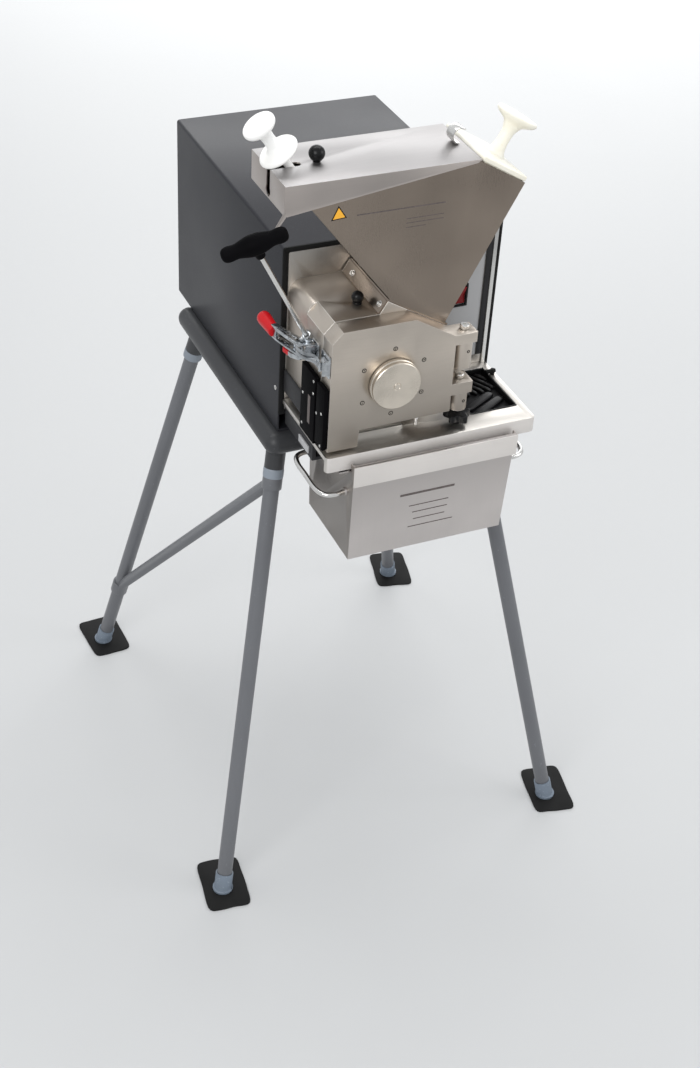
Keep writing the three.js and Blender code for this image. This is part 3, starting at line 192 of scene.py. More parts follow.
def finish(name, colour, metallic=0.0, roughness=0.5, patch=(9, 0.08), rough_spread=0.06, grain=(900, 0.12),
           grain_depth=0.0002, stretch=(1, 1, 1), turned=(0, 0, 0), second=None, streak=None,
           specks=None, gloss=None, painted_height_shade=None):
    material = bpy.data.materials.new(name)
    material.use_nodes = True
    tree = material.node_tree
    shader = tree.nodes["Principled BSDF"]
    shader.inputs["Metallic"].default_value = metallic
    if gloss is not None:
        shader.inputs["Specular IOR Level"].default_value = gloss
    cloud = pattern(tree, (1, 1, 1), patch[0], 3)
    pale = second or shade(colour, 1 + patch[1])
    base = blend_colours(tree, spread(tree, cloud, 0, 1), shade(colour, 1 - patch[1]), pale)
    fine = pattern(tree, stretch, grain[0], 4, turned)
    if streak:      # long faint lines left by brushing or wiping
        lines = spread(tree, pattern(tree, streak[0], streak[1], 5, turned), 0, streak[2], 0.45, 0.75)
        base = blend_colours(tree, lines, base, shade(colour, 0.72))
    if specks:      # small scattered marks, such as dust or nicks
        scale, strength, threshold, speck_colour = specks
        dots = pattern(tree, (1, 1, 1), scale, 1)
        marks = spread(tree, dots, 0, strength, threshold, threshold + 0.05)
        base = blend_colours(tree, marks, base, speck_colour)
    # painted shade: the colour darkens towards one height, standing in for how light falls there
    if painted_height_shade:        # darker towards one height, as on a face that reflects what lies below it
        height = tree.nodes.new("ShaderNodeSeparateXYZ")
        tree.links.new(tree.nodes.new("ShaderNodeTexCoord").outputs["Object"], height.inputs[0])
        bottom, top, darker = painted_height_shade
        painted_shade_amount = spread(tree, height.outputs["Z"], 1, 0, bottom, top)
        base = blend_colours(tree, painted_shade_amount, base, shade(colour, darker))
    tree.links.new(base, shader.inputs["Base Color"])
    rough = tree.nodes.new("ShaderNodeMath")
    rough.operation = "ADD"
    tree.links.new(spread(tree, cloud, roughness - rough_spread, roughness + rough_spread), rough.inputs[0])
    tree.links.new(spread(tree, fine, -rough_spread / 2, rough_spread / 2), rough.inputs[1])
    tree.links.new(rough.outputs[0], shader.inputs["Roughness"])
    bump = tree.nodes.new("ShaderNodeBump")
    bump.inputs["Strength"].default_value = grain[1]
    bump.inputs["Distance"].default_value = grain_depth
    tree.links.new(fine, bump.inputs["Height"])
    tree.links.new(bump.outputs["Normal"], shader.inputs["Normal"])
    material.diffuse_color = (*colour, 1)
    return material


# %% [markdown]
# Two families of metal cover the front: bead-blasted stainless steel, which is soft, even and a
# little warm, and sheet steel that was brushed before it was bent, whose lines run along the sheet.
# The clamp is bright zinc. Paint is nearly matt on the casing and satin on the stand's tubes.

# %% Metals and paints
STEEL_TONE = (0.60, 0.54, 0.475)
SHEET_TONE = (0.66, 0.63, 0.59)
# Blasted steel darkens towards its lower end, below about 0.975 m: painted shade.
blasted_steel = finish("blasted_steel", STEEL_TONE, 1.0, 0.40, patch=(9, 0.07), grain=(1900, 0.22),
                       streak=((1, 1, 14), 26, 0.12), painted_height_shade=(0.975, 1.085, 0.62))
table_steel = finish("table_steel", SHEET_TONE, 1.0, 0.36, patch=(7, 0.05), grain=(1500, 0.10),
                     stretch=(0.06, 1, 1), streak=((0.05, 1, 1), 240, 0.16))
# The front plate's sheet is the same sheet tone darkened to 0.7: painted shade.
plate_painted_shade = finish("plate_painted_shade", shade(SHEET_TONE, 0.70), 1.0, 0.34, patch=(5, 0.08), grain=(1500, 0.10),
                     stretch=(1, 1, 0.06), streak=((1, 1, 0.05), 240, 0.16))
# The drawer's face darkens towards its top, under the deck's overhang: painted shade.
drawer_steel = finish("drawer_steel", (0.64, 0.60, 0.58), 1.0, 0.36, patch=(5, 0.10), grain=(1400, 0.10),
                      stretch=(1, 1, 0.06), streak=((1, 1, 0.05), 210, 0.05), painted_height_shade=(0.895, 0.775, 0.80))
# A darker copy of the drawer's finish for its left side: painted shade.
drawer_side_painted_shade = finish("drawer_side_painted_shade", (0.33, 0.30, 0.275), 1.0, 0.34, patch=(5, 0.12),
                           grain=(1400, 0.10))
# A lighter copy of the sheet for the deck's front flange and the drawer's lip: painted light.
flange_painted_light = finish("flange_painted_light", (0.71, 0.675, 0.645), 0.35, 0.42, patch=(8, 0.06), grain=(1500, 0.10),
                      streak=((0.05, 1, 1), 240, 0.08))
hopper_steel = finish("hopper_steel", (0.300, 0.250, 0.208), 1.0, 0.31, patch=(4, 0.13), grain=(1500, 0.05),
                      stretch=(1, 1, 0.05), turned=(0, 0.35, 0), streak=((1, 1, 0.05), 230, 0.05))
# The cover's top and its apron carry one sheet finish in two tones, for how light falls on each: painted
# light and shade.
cover_top_painted_light = finish("cover_top_painted_light", (0.385, 0.372, 0.370), 1.0, 0.46, patch=(6, 0.05), grain=(1500, 0.10),
                     stretch=(0.05, 1, 1), streak=((0.05, 1, 1), 240, 0.12))
cover_apron_painted_light = finish("cover_apron_painted_light", (0.52, 0.47, 0.44), 1.0, 0.36, patch=(5, 0.10), grain=(1500, 0.10),
                     stretch=(0.05, 1, 1), streak=((0.05, 1, 1), 240, 0.08))
# A bright finish for the eased edges of blasted steel: a painted highlight.
painted_highlight_steel = finish("painted_highlight_steel", (0.90, 0.87, 0.82), 0.55, 0.36, patch=(30, 0.10), grain=(1200, 0.10))
turned_steel = finish("turned_steel", (0.66, 0.60, 0.52), 1.0, 0.28, patch=(20, 0.14), grain=(1200, 0.14))
bright_steel = finish("bright_steel", (0.72, 0.71, 0.69), 1.0, 0.22, patch=(30, 0.05), grain=(1500, 0.06))
zinc = finish("bright_zinc", (0.46, 0.48, 0.50), 1.0, 0.20, patch=(110, 0.30), rough_spread=0.12,
              grain=(700, 0.10))
casing_paint = finish("anthracite_paint", (0.0225, 0.023, 0.0275), 0.0, 0.44, patch=(3, 0.12),
                      grain=(1100, 0.30),
                      specks=(420, 0.4, 0.70, (0.075, 0.077, 0.088)), gloss=0.22)
rail_paint = finish("rail_paint", (0.043, 0.044, 0.047), 0.0, 0.38, patch=(4, 0.12), grain=(500, 0.14),
                    specks=(160, 0.4, 0.72, (0.12, 0.12, 0.13)), gloss=0.3)
stand_paint = finish("stand_paint", (0.135, 0.139, 0.150), 0.0, 0.36, patch=(5, 0.08), grain=(500, 0.14),
                     specks=(160, 0.4, 0.72, (0.22, 0.23, 0.25)))
collar_paint = finish("collar_grey", (0.235, 0.265, 0.305), 0.0, 0.42, patch=(12, 0.10), grain=(400, 0.3))
panel_paint = finish("panel_grey", (0.42, 0.42, 0.425), 0.0, 0.42, patch=(8, 0.05), grain=(900, 0.1))
motor_paint = finish("motor_paint", (0.10, 0.15, 0.20), 0.0, 0.45, patch=(6, 0.08), grain=(300, 0.3))
print(len(bpy.data.materials), "finishes so far")

# %% [markdown]
# Moulded plastics have a faint spark-eroded grain. Rubber is darker and drier, with dust in its grain.
# The turned white pushers show soft yellowish clouds where hands and material have touched them.

# %% Plastics and rubber
black_plastic = finish("black_plastic", (0.006, 0.006, 0.0065), 0.0, 0.26, patch=(20, 0.2),
                       grain=(900, 0.12), gloss=0.22)
lock_plastic = finish("lock_plastic", (0.003, 0.0028, 0.0034), 0.0, 0.62, patch=(20, 0.25),
                      grain=(700, 0.2), gloss=0.03)
dark_plastic = finish("cable_box_plastic", (0.030, 0.030, 0.032), 0.0, 0.5, patch=(20, 0.1),
                      grain=(600, 0.25), gloss=0.15)
red_plastic = finish("red_plastic", (0.50, 0.006, 0.010), 0.0, 0.30, patch=(18, 0.10),
                     grain=(500, 0.10), gloss=0.25)
# The rocker's red is a darker copy of the grip's red, for the shade it sits in behind the hopper: painted
# shade.
rocker_painted_shade_red = finish("rocker_painted_shade_red", (0.20, 0.004, 0.006), 0.0, 0.30, patch=(18, 0.10),
                        grain=(500, 0.10), gloss=0.2)
white_plastic = finish("white_plastic", (0.92, 0.915, 0.90), 0.0, 0.34, patch=(22, 0.02), grain=(500, 0.06),
                       second=(0.90, 0.885, 0.85))
ivory_plastic = finish("ivory_plastic", (0.90, 0.885, 0.81), 0.0, 0.40, patch=(18, 0.03), grain=(300, 0.12),
                       second=(0.86, 0.82, 0.70), specks=(300, 0.4, 0.70, (0.70, 0.63, 0.46)))
rubber = finish("black_rubber", (0.010, 0.010, 0.010), 0.0, 0.66, patch=(30, 0.3), grain=(500, 0.5),
                grain_depth=0.0005, specks=(900, 0.3, 0.68, (0.03, 0.03, 0.03)), gloss=0.15)
mat_rubber = finish("mat_rubber", (0.007, 0.007, 0.0075), 0.0, 0.36, patch=(40, 0.3), grain=(600, 0.3),
                    gloss=0.25)
cap_plastic = finish("cap_plastic", (0.155, 0.190, 0.235), 0.0, 0.44, patch=(25, 0.12), grain=(500, 0.2),
                     specks=(260, 0.5, 0.66, (0.33, 0.38, 0.44)))
sticker_yellow = finish("sticker_yellow", (0.86, 0.42, 0.03), 0.0, 0.34, patch=(60, 0.05),
                        grain=(600, 0.05))
print_grey = finish("print_grey", (0.105, 0.085, 0.08), 0.0, 0.5, patch=(300, 0.25), grain=(1500, 0.05))
# A dark finish for the hinge's grub screws, and for the thin rings under the door screws that stand in for
# the shade in their counterbores: painted shadow.
dark_screws_and_seat_shadow = finish("dark_screws_and_seat_shadow", (0.03, 0.026, 0.022), 0.0, 0.5, patch=(300, 0.3), grain=(1200, 0.1),
                   gloss=0.1)
floor_paint = finish("pale_floor", (0.535, 0.540, 0.542), 0.0, 0.55, patch=(1.2, 0.03), grain=(60, 0.05))
print(len(bpy.data.materials), "finishes in all")

# %% [markdown]
# The mill stands on one large pale sheet. It is so wide that its far edge is lost in the light, which
# gives a plain background without a wall.

# %% Lay the floor
floor_mesh = bpy.data.meshes.new("studio_floor")
half = FLOOR_SIZE / 2
floor_corners = [(-half, -half, 0), (half, -half, 0), (half, half, 0), (-half, half, 0)]
floor_mesh.from_pydata(floor_corners, [], [(0, 1, 2, 3)])
floor = bpy.data.objects.new("studio_floor", floor_mesh)
scene.collection.objects.link(floor)
floor_mesh.materials.append(floor_paint)
floor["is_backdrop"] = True
print("floor", FLOOR_SIZE, "m square")

# %% [markdown]
# Every finished piece rides on the body of the frame node that it belongs to. Most pieces also stand
# for their node. Looking the body up in the frame's own record means that no body is typed twice.

# %% Put a piece in the scene
BODY_OF = {node: body for body, members in frame["record"]["behaviour"]["bodies"].items() for node in members}
made = []


def rides_with(node, name, mesh, material):
    """Puts a mesh in the scene on the body of a frame node."""
    mesh.name = name
    piece = bpy.data.objects.new(name, mesh)
    scene.collection.objects.link(piece)
    if not mesh.materials:
        mesh.materials.append(material)
    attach(piece, BODY_OF[node])
    made.append(name)
    return piece


def stands_for(node, name, mesh, material):
    """The same for a piece that takes the frame node's place."""
    piece = rides_with(node, name, mesh, material)
    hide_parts(node)
    return piece


# %% [markdown]
# New forms are built point by point with bmesh and written to a mesh once. Modifiers such as Bevel or
# Remesh run on a helper object, and only their result is kept, so no modifier stays live on a piece.
# Smooth shading with sharp edges kept above an angle makes rounds look round and flats look flat.

# %% From points to a plain mesh
def closed_mesh(form, name):
    """Writes a bmesh to a mesh whose faces look outward, and frees it."""
    bmesh.ops.recalc_face_normals(form, faces=form.faces)
    mesh = bpy.data.meshes.new(name)
    form.to_mesh(mesh)
    form.free()
    return mesh


def skin(form, rings):
    """Joins closed rings of points one after another and closes both ends."""
    for low, high in zip(rings, rings[1:]):
        for k in range(len(low)):
            j = (k + 1) % len(low)
            form.faces.new((low[k], low[j], high[j], high[k]))
    form.faces.new(rings[0])
    form.faces.new(rings[-1])


def smooth(mesh, angle=32):
    mesh.polygons.foreach_set("use_smooth", [True] * len(mesh.polygons))
    mesh.set_sharp_from_angle(angle=math.radians(angle))


def plain(obj):
    """Turns an object with modifiers into a plain mesh object and removes the modifiers."""
    bpy.context.view_layer.update()
    mesh = bpy.data.meshes.new_from_object(obj.evaluated_get(bpy.context.evaluated_depsgraph_get()))
    obj.modifiers.clear()
    obj.data = mesh
    return obj


def shaped(mesh, *modifiers):
    """Runs a mesh through modifiers, each (type, {property: value}), and returns the result."""
    shaper = bpy.data.objects.new("shaper", mesh)
    scene.collection.objects.link(shaper)
    for kind, values in modifiers:
        modifier = shaper.modifiers.new(kind.lower(), kind)
        for name, value in values.items():
            setattr(modifier, name, value)
    result = plain(shaper).data
    bpy.data.objects.remove(shaper)
    return result


print("mesh helpers ready")

# %% [markdown]
# Real machined and bent parts have no knife-sharp edges. `finished` copies a frame piece, merges its
# loose triangles into clean faces and eases its edges with a bevel. The bevel can put its own narrow
# faces in a second, brighter finish: a painted highlight along the edge.

# %% Copy, ease and smooth a frame piece
MERGE_DISTANCE, FLAT_DEGREES = 4e-6, 0.8
FACING_LIMIT = 0.6      # how far a face may turn from a direction and still count as facing it


def clean_copy(node):
    form = bmesh.new()
    form.from_mesh(frame["nodes"][node].data)
    bmesh.ops.remove_doubles(form, verts=form.verts, dist=MERGE_DISTANCE)
    bmesh.ops.dissolve_limit(form, angle_limit=math.radians(FLAT_DEGREES), verts=form.verts, edges=form.edges)
    mesh = bpy.data.meshes.new(node)
    form.to_mesh(mesh)
    form.free()
    return mesh


def eased(width_mm, steps=2, angle=34, highlight_slot=-1):
    return "BEVEL", {"width": width_mm / 1000, "segments": steps, "limit_method": "ANGLE",
                     "angle_limit": math.radians(angle), "harden_normals": False, "material": highlight_slot}


def finished(node, material, ease_mm=0.7, facing=None, mesh=None, edge=None):
    """The frame piece with eased edges. `edge` is a finish for those edges; a brighter one there is a
    painted highlight. `facing` is (direction, finish) for the faces that look along a direction; that
    finish is a copy of the piece's own in another tone, for painted light and shade."""
    mesh = mesh or clean_copy(node)
    mesh.materials.append(material)
    if edge or facing:
        mesh.materials.append(edge or facing[1])
    mesh = shaped(mesh, eased(ease_mm, highlight_slot=1 if edge else -1))
    smooth(mesh)
    if facing:
        for face in mesh.polygons:
            face.material_index = int(face.normal.dot(Vector(facing[0])) > FACING_LIMIT)
    return stands_for(node, f"{node}_finished", mesh, material)


print("finishing helpers ready")

# %% [markdown]
# Most pieces need only this treatment. How much an edge is eased follows how the piece is made: thin
# sheet hardly at all, machined blocks by about a millimetre. The cover and the deck are bent from
# brushed sheet. The cover's top and the deck's front face get a copy of the sheet finish in another
# tone, for the light that falls on them: painted light. Blasted steel gets a brighter finish on its
# eased edges: a painted highlight.

# %% Finish the plain pieces
PLAIN_PIECES = {   # node: (finish, eased edge in mm)
    "stand_frame": (rail_paint, 0.5), "brace_left": (stand_paint, 0.4), "brace_right": (stand_paint, 0.4),
    "casing_shell": (casing_paint, 1.2), "casing_back": (casing_paint, 0.5), "front_gasket": (rubber, 0.5),
    "front_plate": (plate_painted_shade, 0.5), "control_panel": (panel_paint, 0.5),
    "main_switch_rocker": (rocker_painted_shade_red, 0.8), "motor": (motor_paint, 0.8),
    "motor_cradle": (casing_paint, 0.8), "bearing_housing": (turned_steel, 0.6),
    "knife_rotor": (turned_steel, 0.5),
    "chamber_body": (blasted_steel, 1.2), "sieve_insert": (bright_steel, 0.2),
    "chamber_door": (blasted_steel, 1.3), "hinge_bracket": (blasted_steel, 0.9),
    "drawer_runner_left": (dark_plastic, 0.5), "drawer_runner_right": (dark_plastic, 0.5),
    "outlet_duct": (bright_steel, 0.5), "door_buffer": (rubber, 0.6),
    "guard_lock": (lock_plastic, 0.9), "guard_lock_actuator": (lock_plastic, 0.9),
    "cable_box": (dark_plastic, 0.9), "clamp_base": (zinc, 0.5), "clamp_lever": (zinc, 0.5),
    "clamp_hook": (zinc, 0.3), "door_catch": (zinc, 0.5), "key_rod": (bright_steel, 0.3),
    "hopper": (hopper_steel, 0.6),
}
UP, FRONT, BACKWARD, LEFTWARD, RIGHTWARD = (0, 0, 1), (0, -1, 0), (0, 1, 0), (-1, 0, 0), (1, 0, 0)
SIDES = (("left", -1), ("right", 1))
# Blasted steel gets its eased edges in the brighter finish: a painted highlight.
for node, (material, ease_mm) in PLAIN_PIECES.items():
    finished(node, material, ease_mm, edge=painted_highlight_steel if material is blasted_steel else None)
# The cover's top and the deck's front face take their own tone of the sheet: painted light.
finished("hopper_cover", cover_apron_painted_light, 0.7, facing=(UP, cover_top_painted_light))
finished("table", table_steel, 0.7, facing=(FRONT, flange_painted_light))
print(len(made), "pieces finished from the frame")

# %% [markdown]
# Moulded grips have no edges at all. A voxel remesh fuses the simple forms of the frame piece into one
# skin, and a few rounds of smoothing let its joins flow, as they do in a moulding.

# %% Soften the moulded pieces
TRIGGER_TIP_MM = -289       # behind this depth the clamp's trigger is dipped in red


def softened(node, material, voxel_mm, rounds):
    """A moulded form: the frame piece remeshed finely and smoothed, so its joins flow together."""
    mesh = shaped(clean_copy(node), ("REMESH", {"mode": "VOXEL", "voxel_size": voxel_mm / 1000}),
                  ("SMOOTH", {"factor": 0.5, "iterations": rounds}))
    smooth(mesh, 60)
    return stands_for(node, f"{node}_finished", mesh, material)


release = softened("clamp_release", zinc, 0.6, 4)
release.data.materials.append(red_plastic)
tip_start = at(0, TRIGGER_TIP_MM, 0).y
for face in release.data.polygons:
    face.material_index = int(face.center.y > tip_start)
softened("star_knob", black_plastic, 0.9, 6)
print("softened", made[-2:])

# %% [markdown]
# The legs are drawn tubes, and the foot caps, knobs and pushers are turned or moulded round. All of
# them come off one small lathe: a closed outline of radius and height, spun round its axis.

# %% A lathe for turned pieces
def turned_form(profile_mm, start, direction, around=64, ridged=None):
    """Spins [(radius, height along the axis), ...] round direction from start. The ends lie on the
    axis. `ridged` is (depth, lowest, highest): every second point of those rings steps in."""
    form = bmesh.new()
    turn = Vector(UP).rotation_difference(Vector(direction).normalized()).to_matrix()
    rings = []
    for radius, height in profile_mm:
        if radius < 1e-6:
            rings.append([form.verts.new(start + turn @ Vector((0, 0, height / 1000)))])
            continue
        step_in = ridged[0] if ridged and ridged[1] <= height <= ridged[2] else 0
        rings.append([])
        for k in range(around):
            reach, angle = (radius - step_in * (k % 2)) / 1000, 2 * math.pi * k / around
            spot = Vector((reach * math.cos(angle), reach * math.sin(angle), height / 1000))
            rings[-1].append(form.verts.new(start + turn @ spot))
    for low, high in zip(rings, rings[1:]):
        for k in range(around):
            j = (k + 1) % around
            corners = [low[k % len(low)], low[j % len(low)], high[j % len(high)], high[k % len(high)]]
            unique = [v for i, v in enumerate(corners) if v not in corners[:i]]
            if len(unique) > 2:
                form.faces.new(unique)
    mesh = closed_mesh(form, "turned")
    smooth(mesh, 40)
    return mesh


def rounded_profile(points, radius, steps=5):
    """Eases the inner corners of a (radius, height) profile with short curves."""
    out = [points[0]]
    for before, corner, after in zip(points, points[1:], points[2:]):
        before, corner, after = Vector(before), Vector(corner), Vector(after)
        reach = min(radius, (before - corner).length / 2.05, (after - corner).length / 2.05)
        first = corner + (before - corner).normalized() * reach
        last = corner + (after - corner).normalized() * reach
        for k in range(steps + 1):
            t = k / steps
            out.append(tuple(first * (1 - t) ** 2 + corner * 2 * t * (1 - t) + last * t ** 2))
    out.append(points[-1])
    return out


print("the lathe is ready")

# %% [markdown]
# Four legs splay out from sockets under the casing. Each has a plain tube, a lighter collar just
# below its socket and a moulded cap at its foot, and the same lines make all four.

# %% Legs with their foot caps
FOOT_MM, SOCKET_MM = (337, 372, 3.3), (188, 198, 794)
LEG_R_MM, LEG_START_MM, LEG_PAST_SOCKET_MM = 13.5, 10.5, 25.5
for side, sx in SIDES:
    for end, sy in (("front", -1), ("back", 1)):
        foot = at(sx * FOOT_MM[0], sy * FOOT_MM[1], FOOT_MM[2])
        top = at(sx * SOCKET_MM[0], sy * SOCKET_MM[1], SOCKET_MM[2])
        along = (top - foot).normalized()
        reach_mm = (top - foot).length * 1000
        leg = f"leg_{end}_{side}"
        end_mm = reach_mm + LEG_PAST_SOCKET_MM
        tube = rounded_profile([(0, LEG_START_MM), (LEG_R_MM, LEG_START_MM), (LEG_R_MM, end_mm),
                                (0, end_mm)], 0.8)
        stands_for(leg, f"{leg}_tube", turned_form(tube, foot, along, 48), stand_paint)
        finished(f"foot_cap_{end}_{side}", cap_plastic, 0.9)
        collar = rounded_profile([(LEG_R_MM + 0.1, -16), (17.0, -16), (17.4, -13), (17.4, -2), (16.8, 1),
                                  (LEG_R_MM + 0.1, 1)], 0.8)
        collar_form = turned_form([*collar, collar[0]], top, along, 40)
        rides_with(leg, f"leg_collar_{end}_{side}", collar_form, collar_paint)
print("legs are", round(reach_mm), "mm long")

# %% [markdown]
# The feet stand on pads cut by hand from rubber sheet. Their edges wander a little and their corners
# are blunt. Each outline is a blunt square whose edge follows two slow waves, and it differs from pad
# to pad because the pad's own turn shifts the waves.

# %% Rubber pads under the feet
PAD_WIDE, PAD_LONG, PAD_THICK = 0.082, 0.122, 0.003
PAD_TURNS = {"front_left": -7, "front_right": -11, "back_left": 3, "back_right": -13}   # degrees
PAD_POINTS, BLUNTNESS = 64, 9


def pad_outline(degrees):
    """Points of one pad round its own middle, in metres."""
    turn = Matrix.Rotation(math.radians(degrees), 3, "Z")
    for k in range(PAD_POINTS):
        angle = 2 * math.pi * k / PAD_POINTS
        x, y = math.cos(angle), math.sin(angle)
        reach = 1 / (abs(x) ** BLUNTNESS + abs(y) ** BLUNTNESS) ** (1 / BLUNTNESS)
        wander = 0.012 * (1 + math.sin(3 * angle + degrees)) + 0.006 * (1 + math.sin(7 * angle + 2 * degrees))
        reach *= 0.985 - wander
        yield turn @ Vector((x * reach * PAD_WIDE / 2, y * reach * PAD_LONG / 2, 0))


for where, degrees in PAD_TURNS.items():
    sx, sy = (1 if "right" in where else -1), (1 if "back" in where else -1)
    middle = at(sx * FOOT_MM[0] + (11 if sx > 0 else 5), sy * FOOT_MM[1] + 10, 0)
    form = bmesh.new()
    skin(form, [[form.verts.new(middle + spot + Vector((0, 0, z))) for spot in pad_outline(degrees)]
                for z in (0, PAD_THICK)])
    pad = shaped(closed_mesh(form, "pad"), eased(0.7))
    smooth(pad)
    stands_for(f"foot_pad_{where}", f"foot_pad_{where}_cut", pad, rubber)
print("pads", list(PAD_TURNS))

# %% [markdown]
# Two ball knobs and the door's centre cap. A ball's outline is an arc, joined to the straight lines of
# its neck. The cap has a groove round it and a small boss in its middle, so its outline has steps.

# %% Turned knobs and the centre cap
def ball_arc(radius, start, stop, step):
    """The outline of a ball from its neck to its crown, as (radius, height) round the ball's middle."""
    return [(radius * math.sin(math.radians(t)), -radius * math.cos(math.radians(t)))
            for t in range(start, stop, step)]


pin_knob = [(0, -25), (4, -25), (4, -10.6), (7, -10.6), (7, -7.1), (4.4, -7.1),
            *ball_arc(9.5, 35, 181, 8)[:-1], (0, 9.5)]
stands_for("lock_pin_knob", "lock_pin_knob_turned",
           turned_form(pin_knob, at(-107, -309, 1160), UP, 40), black_plastic)
lid_knob = [(0, -12.1), (5.5, -12.1), (5.9, -10.5), *ball_arc(12, 30, 180, 6), (0, 12)]
stands_for("cover_knob", "cover_knob_turned",
           turned_form(lid_knob, at(-174, -288, 1390.2), UP, 56), black_plastic)
cap = rounded_profile([(0, 0), (38, 0), (38, 3.3), (40.5, 3.3), (40.5, 9), (39, 9.8), (39, 11.2), (40, 12),
                       (40, 17), (38.6, 18.6), (6.2, 18.6), (5.8, 17.8), (5.0, 17.8), (4.6, 19.1), (0, 19.1)],
                      0.5, 3)
stands_for("door_centre_cap", "door_centre_cap_turned",
           turned_form(cap, at(-74.5, -381.1, 1049), FRONT, 96), turned_steel)
print(made[-3:])

# %% [markdown]
# The key's T-handle is a moulded bar, thicker in the middle and at both ends, on a tapering boss that
# follows the rod. Half of the bar's outline is given and mirrored. The clamp's grip is dipped in red
# plastic, so it swells towards its round end.

# %% T-handle of the key and grip of the clamp
KEY_FOOT_MM, KEY_TOP_MM = Vector((-189.5, -318, 1110)), Vector((-281.6, -358.2, 1278.3))
BAR_PAST_ROD_MM, BAR_DIRECTION = 30, (0.863, -0.31, 0.398)
key_run = (KEY_TOP_MM - KEY_FOOT_MM).normalized()
bar_middle = at(*(KEY_TOP_MM + key_run * BAR_PAST_ROD_MM))
half_bar = [(0, 50), (7.4, 49), (10.9, 44.5), (11.7, 38), (10.9, 31), (10.8, 26), (13.0, 18), (15.4, 8),
            (15.8, 0)]
whole_bar = [(r, -h) for r, h in half_bar] + [(r, h) for r, h in half_bar[-2::-1]]
stands_for("key_handle", "key_handle_bar",
           turned_form(rounded_profile(whole_bar, 3.0, 4), bar_middle, BAR_DIRECTION, 56), lock_plastic)
boss = rounded_profile([(0, 4), (7.2, 4), (7.6, 12), (9.4, 20), (12.5, 30), (0, 30)], 1.6, 4)
rides_with("key_handle", "key_handle_boss", turned_form(boss, at(*KEY_TOP_MM), key_run, 40), lock_plastic)
grip = rounded_profile([(0, 0), (8.6, 0), (9.4, 1.5), (9.8, 10), (10.5, 26), (11.4, 40), (10.9, 47),
                        (8.0, 51), (0, 52.5)], 2.2, 4)
stands_for("clamp_grip", "clamp_grip_dipped",
           turned_form(grip, at(-217.6, -256, 1091), BACKWARD, 48), red_plastic)
print(made[-3:])

# %% [markdown]
# The hinge pins drop in from above. Their heads are knurled, which the lathe makes by letting every
# second point of the head's rings step in. Their length comes from the frame's own boxes.

# %% Knurled hinge pins
PIN_R_MM, HEAD_R_MM, HEAD_HIGH_MM, KNURL_DEPTH_MM = 5, 7.5, 6.6, 0.45
for pin_node in ("hinge_pin_upper", "hinge_pin_lower"):
    low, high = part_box(pin_node)
    long_mm = (high.z - low.z) * 1000
    neck = long_mm - HEAD_HIGH_MM
    pin = [(0, 0), (PIN_R_MM, 0), (PIN_R_MM, neck), (HEAD_R_MM - 0.3, neck), (HEAD_R_MM, neck + 0.6),
           (HEAD_R_MM, long_mm - 1.2), (6.3, long_mm - 0.1), (2.4, long_mm - 0.1), (2.2, long_mm - 1.4),
           (0, long_mm - 1.4)]
    pin_foot = Vector(((low.x + high.x) / 2, (low.y + high.y) / 2, low.z))
    knurled = turned_form(pin, pin_foot, UP, 48, ridged=(KNURL_DEPTH_MM, long_mm - 6.2, long_mm - 1.1))
    stands_for(pin_node, f"{pin_node}_knurled", knurled, bright_steel)
print(made[-2:])

# %% [markdown]
# Both pushers are turned from plastic bar: a mushroom with a long waist. The left one stands on its
# stem in the cover's slot and leans outward.

# %% The left pusher
LEAN = 0.62
lean = Vector((-math.sin(LEAN), 0, math.cos(LEAN)))
left_form = rounded_profile([(0, -46), (6, -46), (6, 0), (30, 0), (30.8, 3), (28.5, 6.5), (14, 10), (9.8, 17),
                             (9.2, 28), (9.8, 38), (14, 45), (23.5, 49), (25.6, 53), (24.5, 58), (0, 60)],
                            3.2, 5)
stands_for("pusher_left", "pusher_left_turned",
           turned_form(left_form, at(-231, -288, 1398), lean, 72), white_plastic)
print(made[-1])

# %% [markdown]
# The right pusher grows out of a lid over the inlet, with a plug below it that fills the mouth. The
# inlet slopes, so lid and plug are laid out along the slope and off it, and the knob stands square to it.

# %% The right pusher with its lid and plug
INLET_LEAN = math.radians(30.3)
off_slope = Vector((math.sin(INLET_LEAN), 0, math.cos(INLET_LEAN)))
down_slope = Vector((math.cos(INLET_LEAN), 0, -math.sin(INLET_LEAN)))
mouth = at(95.5, -288, 1351.25)
SLANTED_BLOCKS = {   # name: (span down the slope, span across, span off the slope), all in mm
    "plug": ((-37.9, 37.9), (-58.9, 58.9), (-26, 2)),
    "lid": ((-42.9, 43.4), (-62.5, 62.5), (1.2, 9)),
}


def slanted_block(name, along_mm, across_mm, up_mm):
    """A block with soft edges that lies square to the inlet's slope."""
    form = bmesh.new()
    rings = []
    for up in up_mm:
        spots = [down_slope * along_mm[a] + Vector((0, across_mm[c], 0)) + off_slope * up
                 for a, c in ((0, 0), (1, 0), (1, 1), (0, 1))]
        rings.append([form.verts.new(mouth + spot / 1000) for spot in spots])
    skin(form, rings)
    block = shaped(closed_mesh(form, name), eased(2.2, 4))
    smooth(block)
    return block


right_form = rounded_profile([(0, 0), (17, 0), (17, 5), (12, 11), (9.5, 24), (10, 42), (15, 54), (31, 62),
                              (34, 66), (32.5, 70), (0, 72)], 3.2, 5)
knob = turned_form(right_form, mouth + off_slope * 0.005 + down_slope * 0.015, off_slope, 72)
for name, spans in SLANTED_BLOCKS.items():
    rides_with("pusher_right", f"pusher_right_{name}", slanted_block(name, *spans), ivory_plastic)
stands_for("pusher_right", "pusher_right_turned", knob, ivory_plastic)
print(made[-3:])

# %% [markdown]
# The drawer is folded sheet with a bent rod handle welded to each side. The frame's handles have few
# sides, so they are trimmed off the copy and the holes closed, to make room for smooth ones.

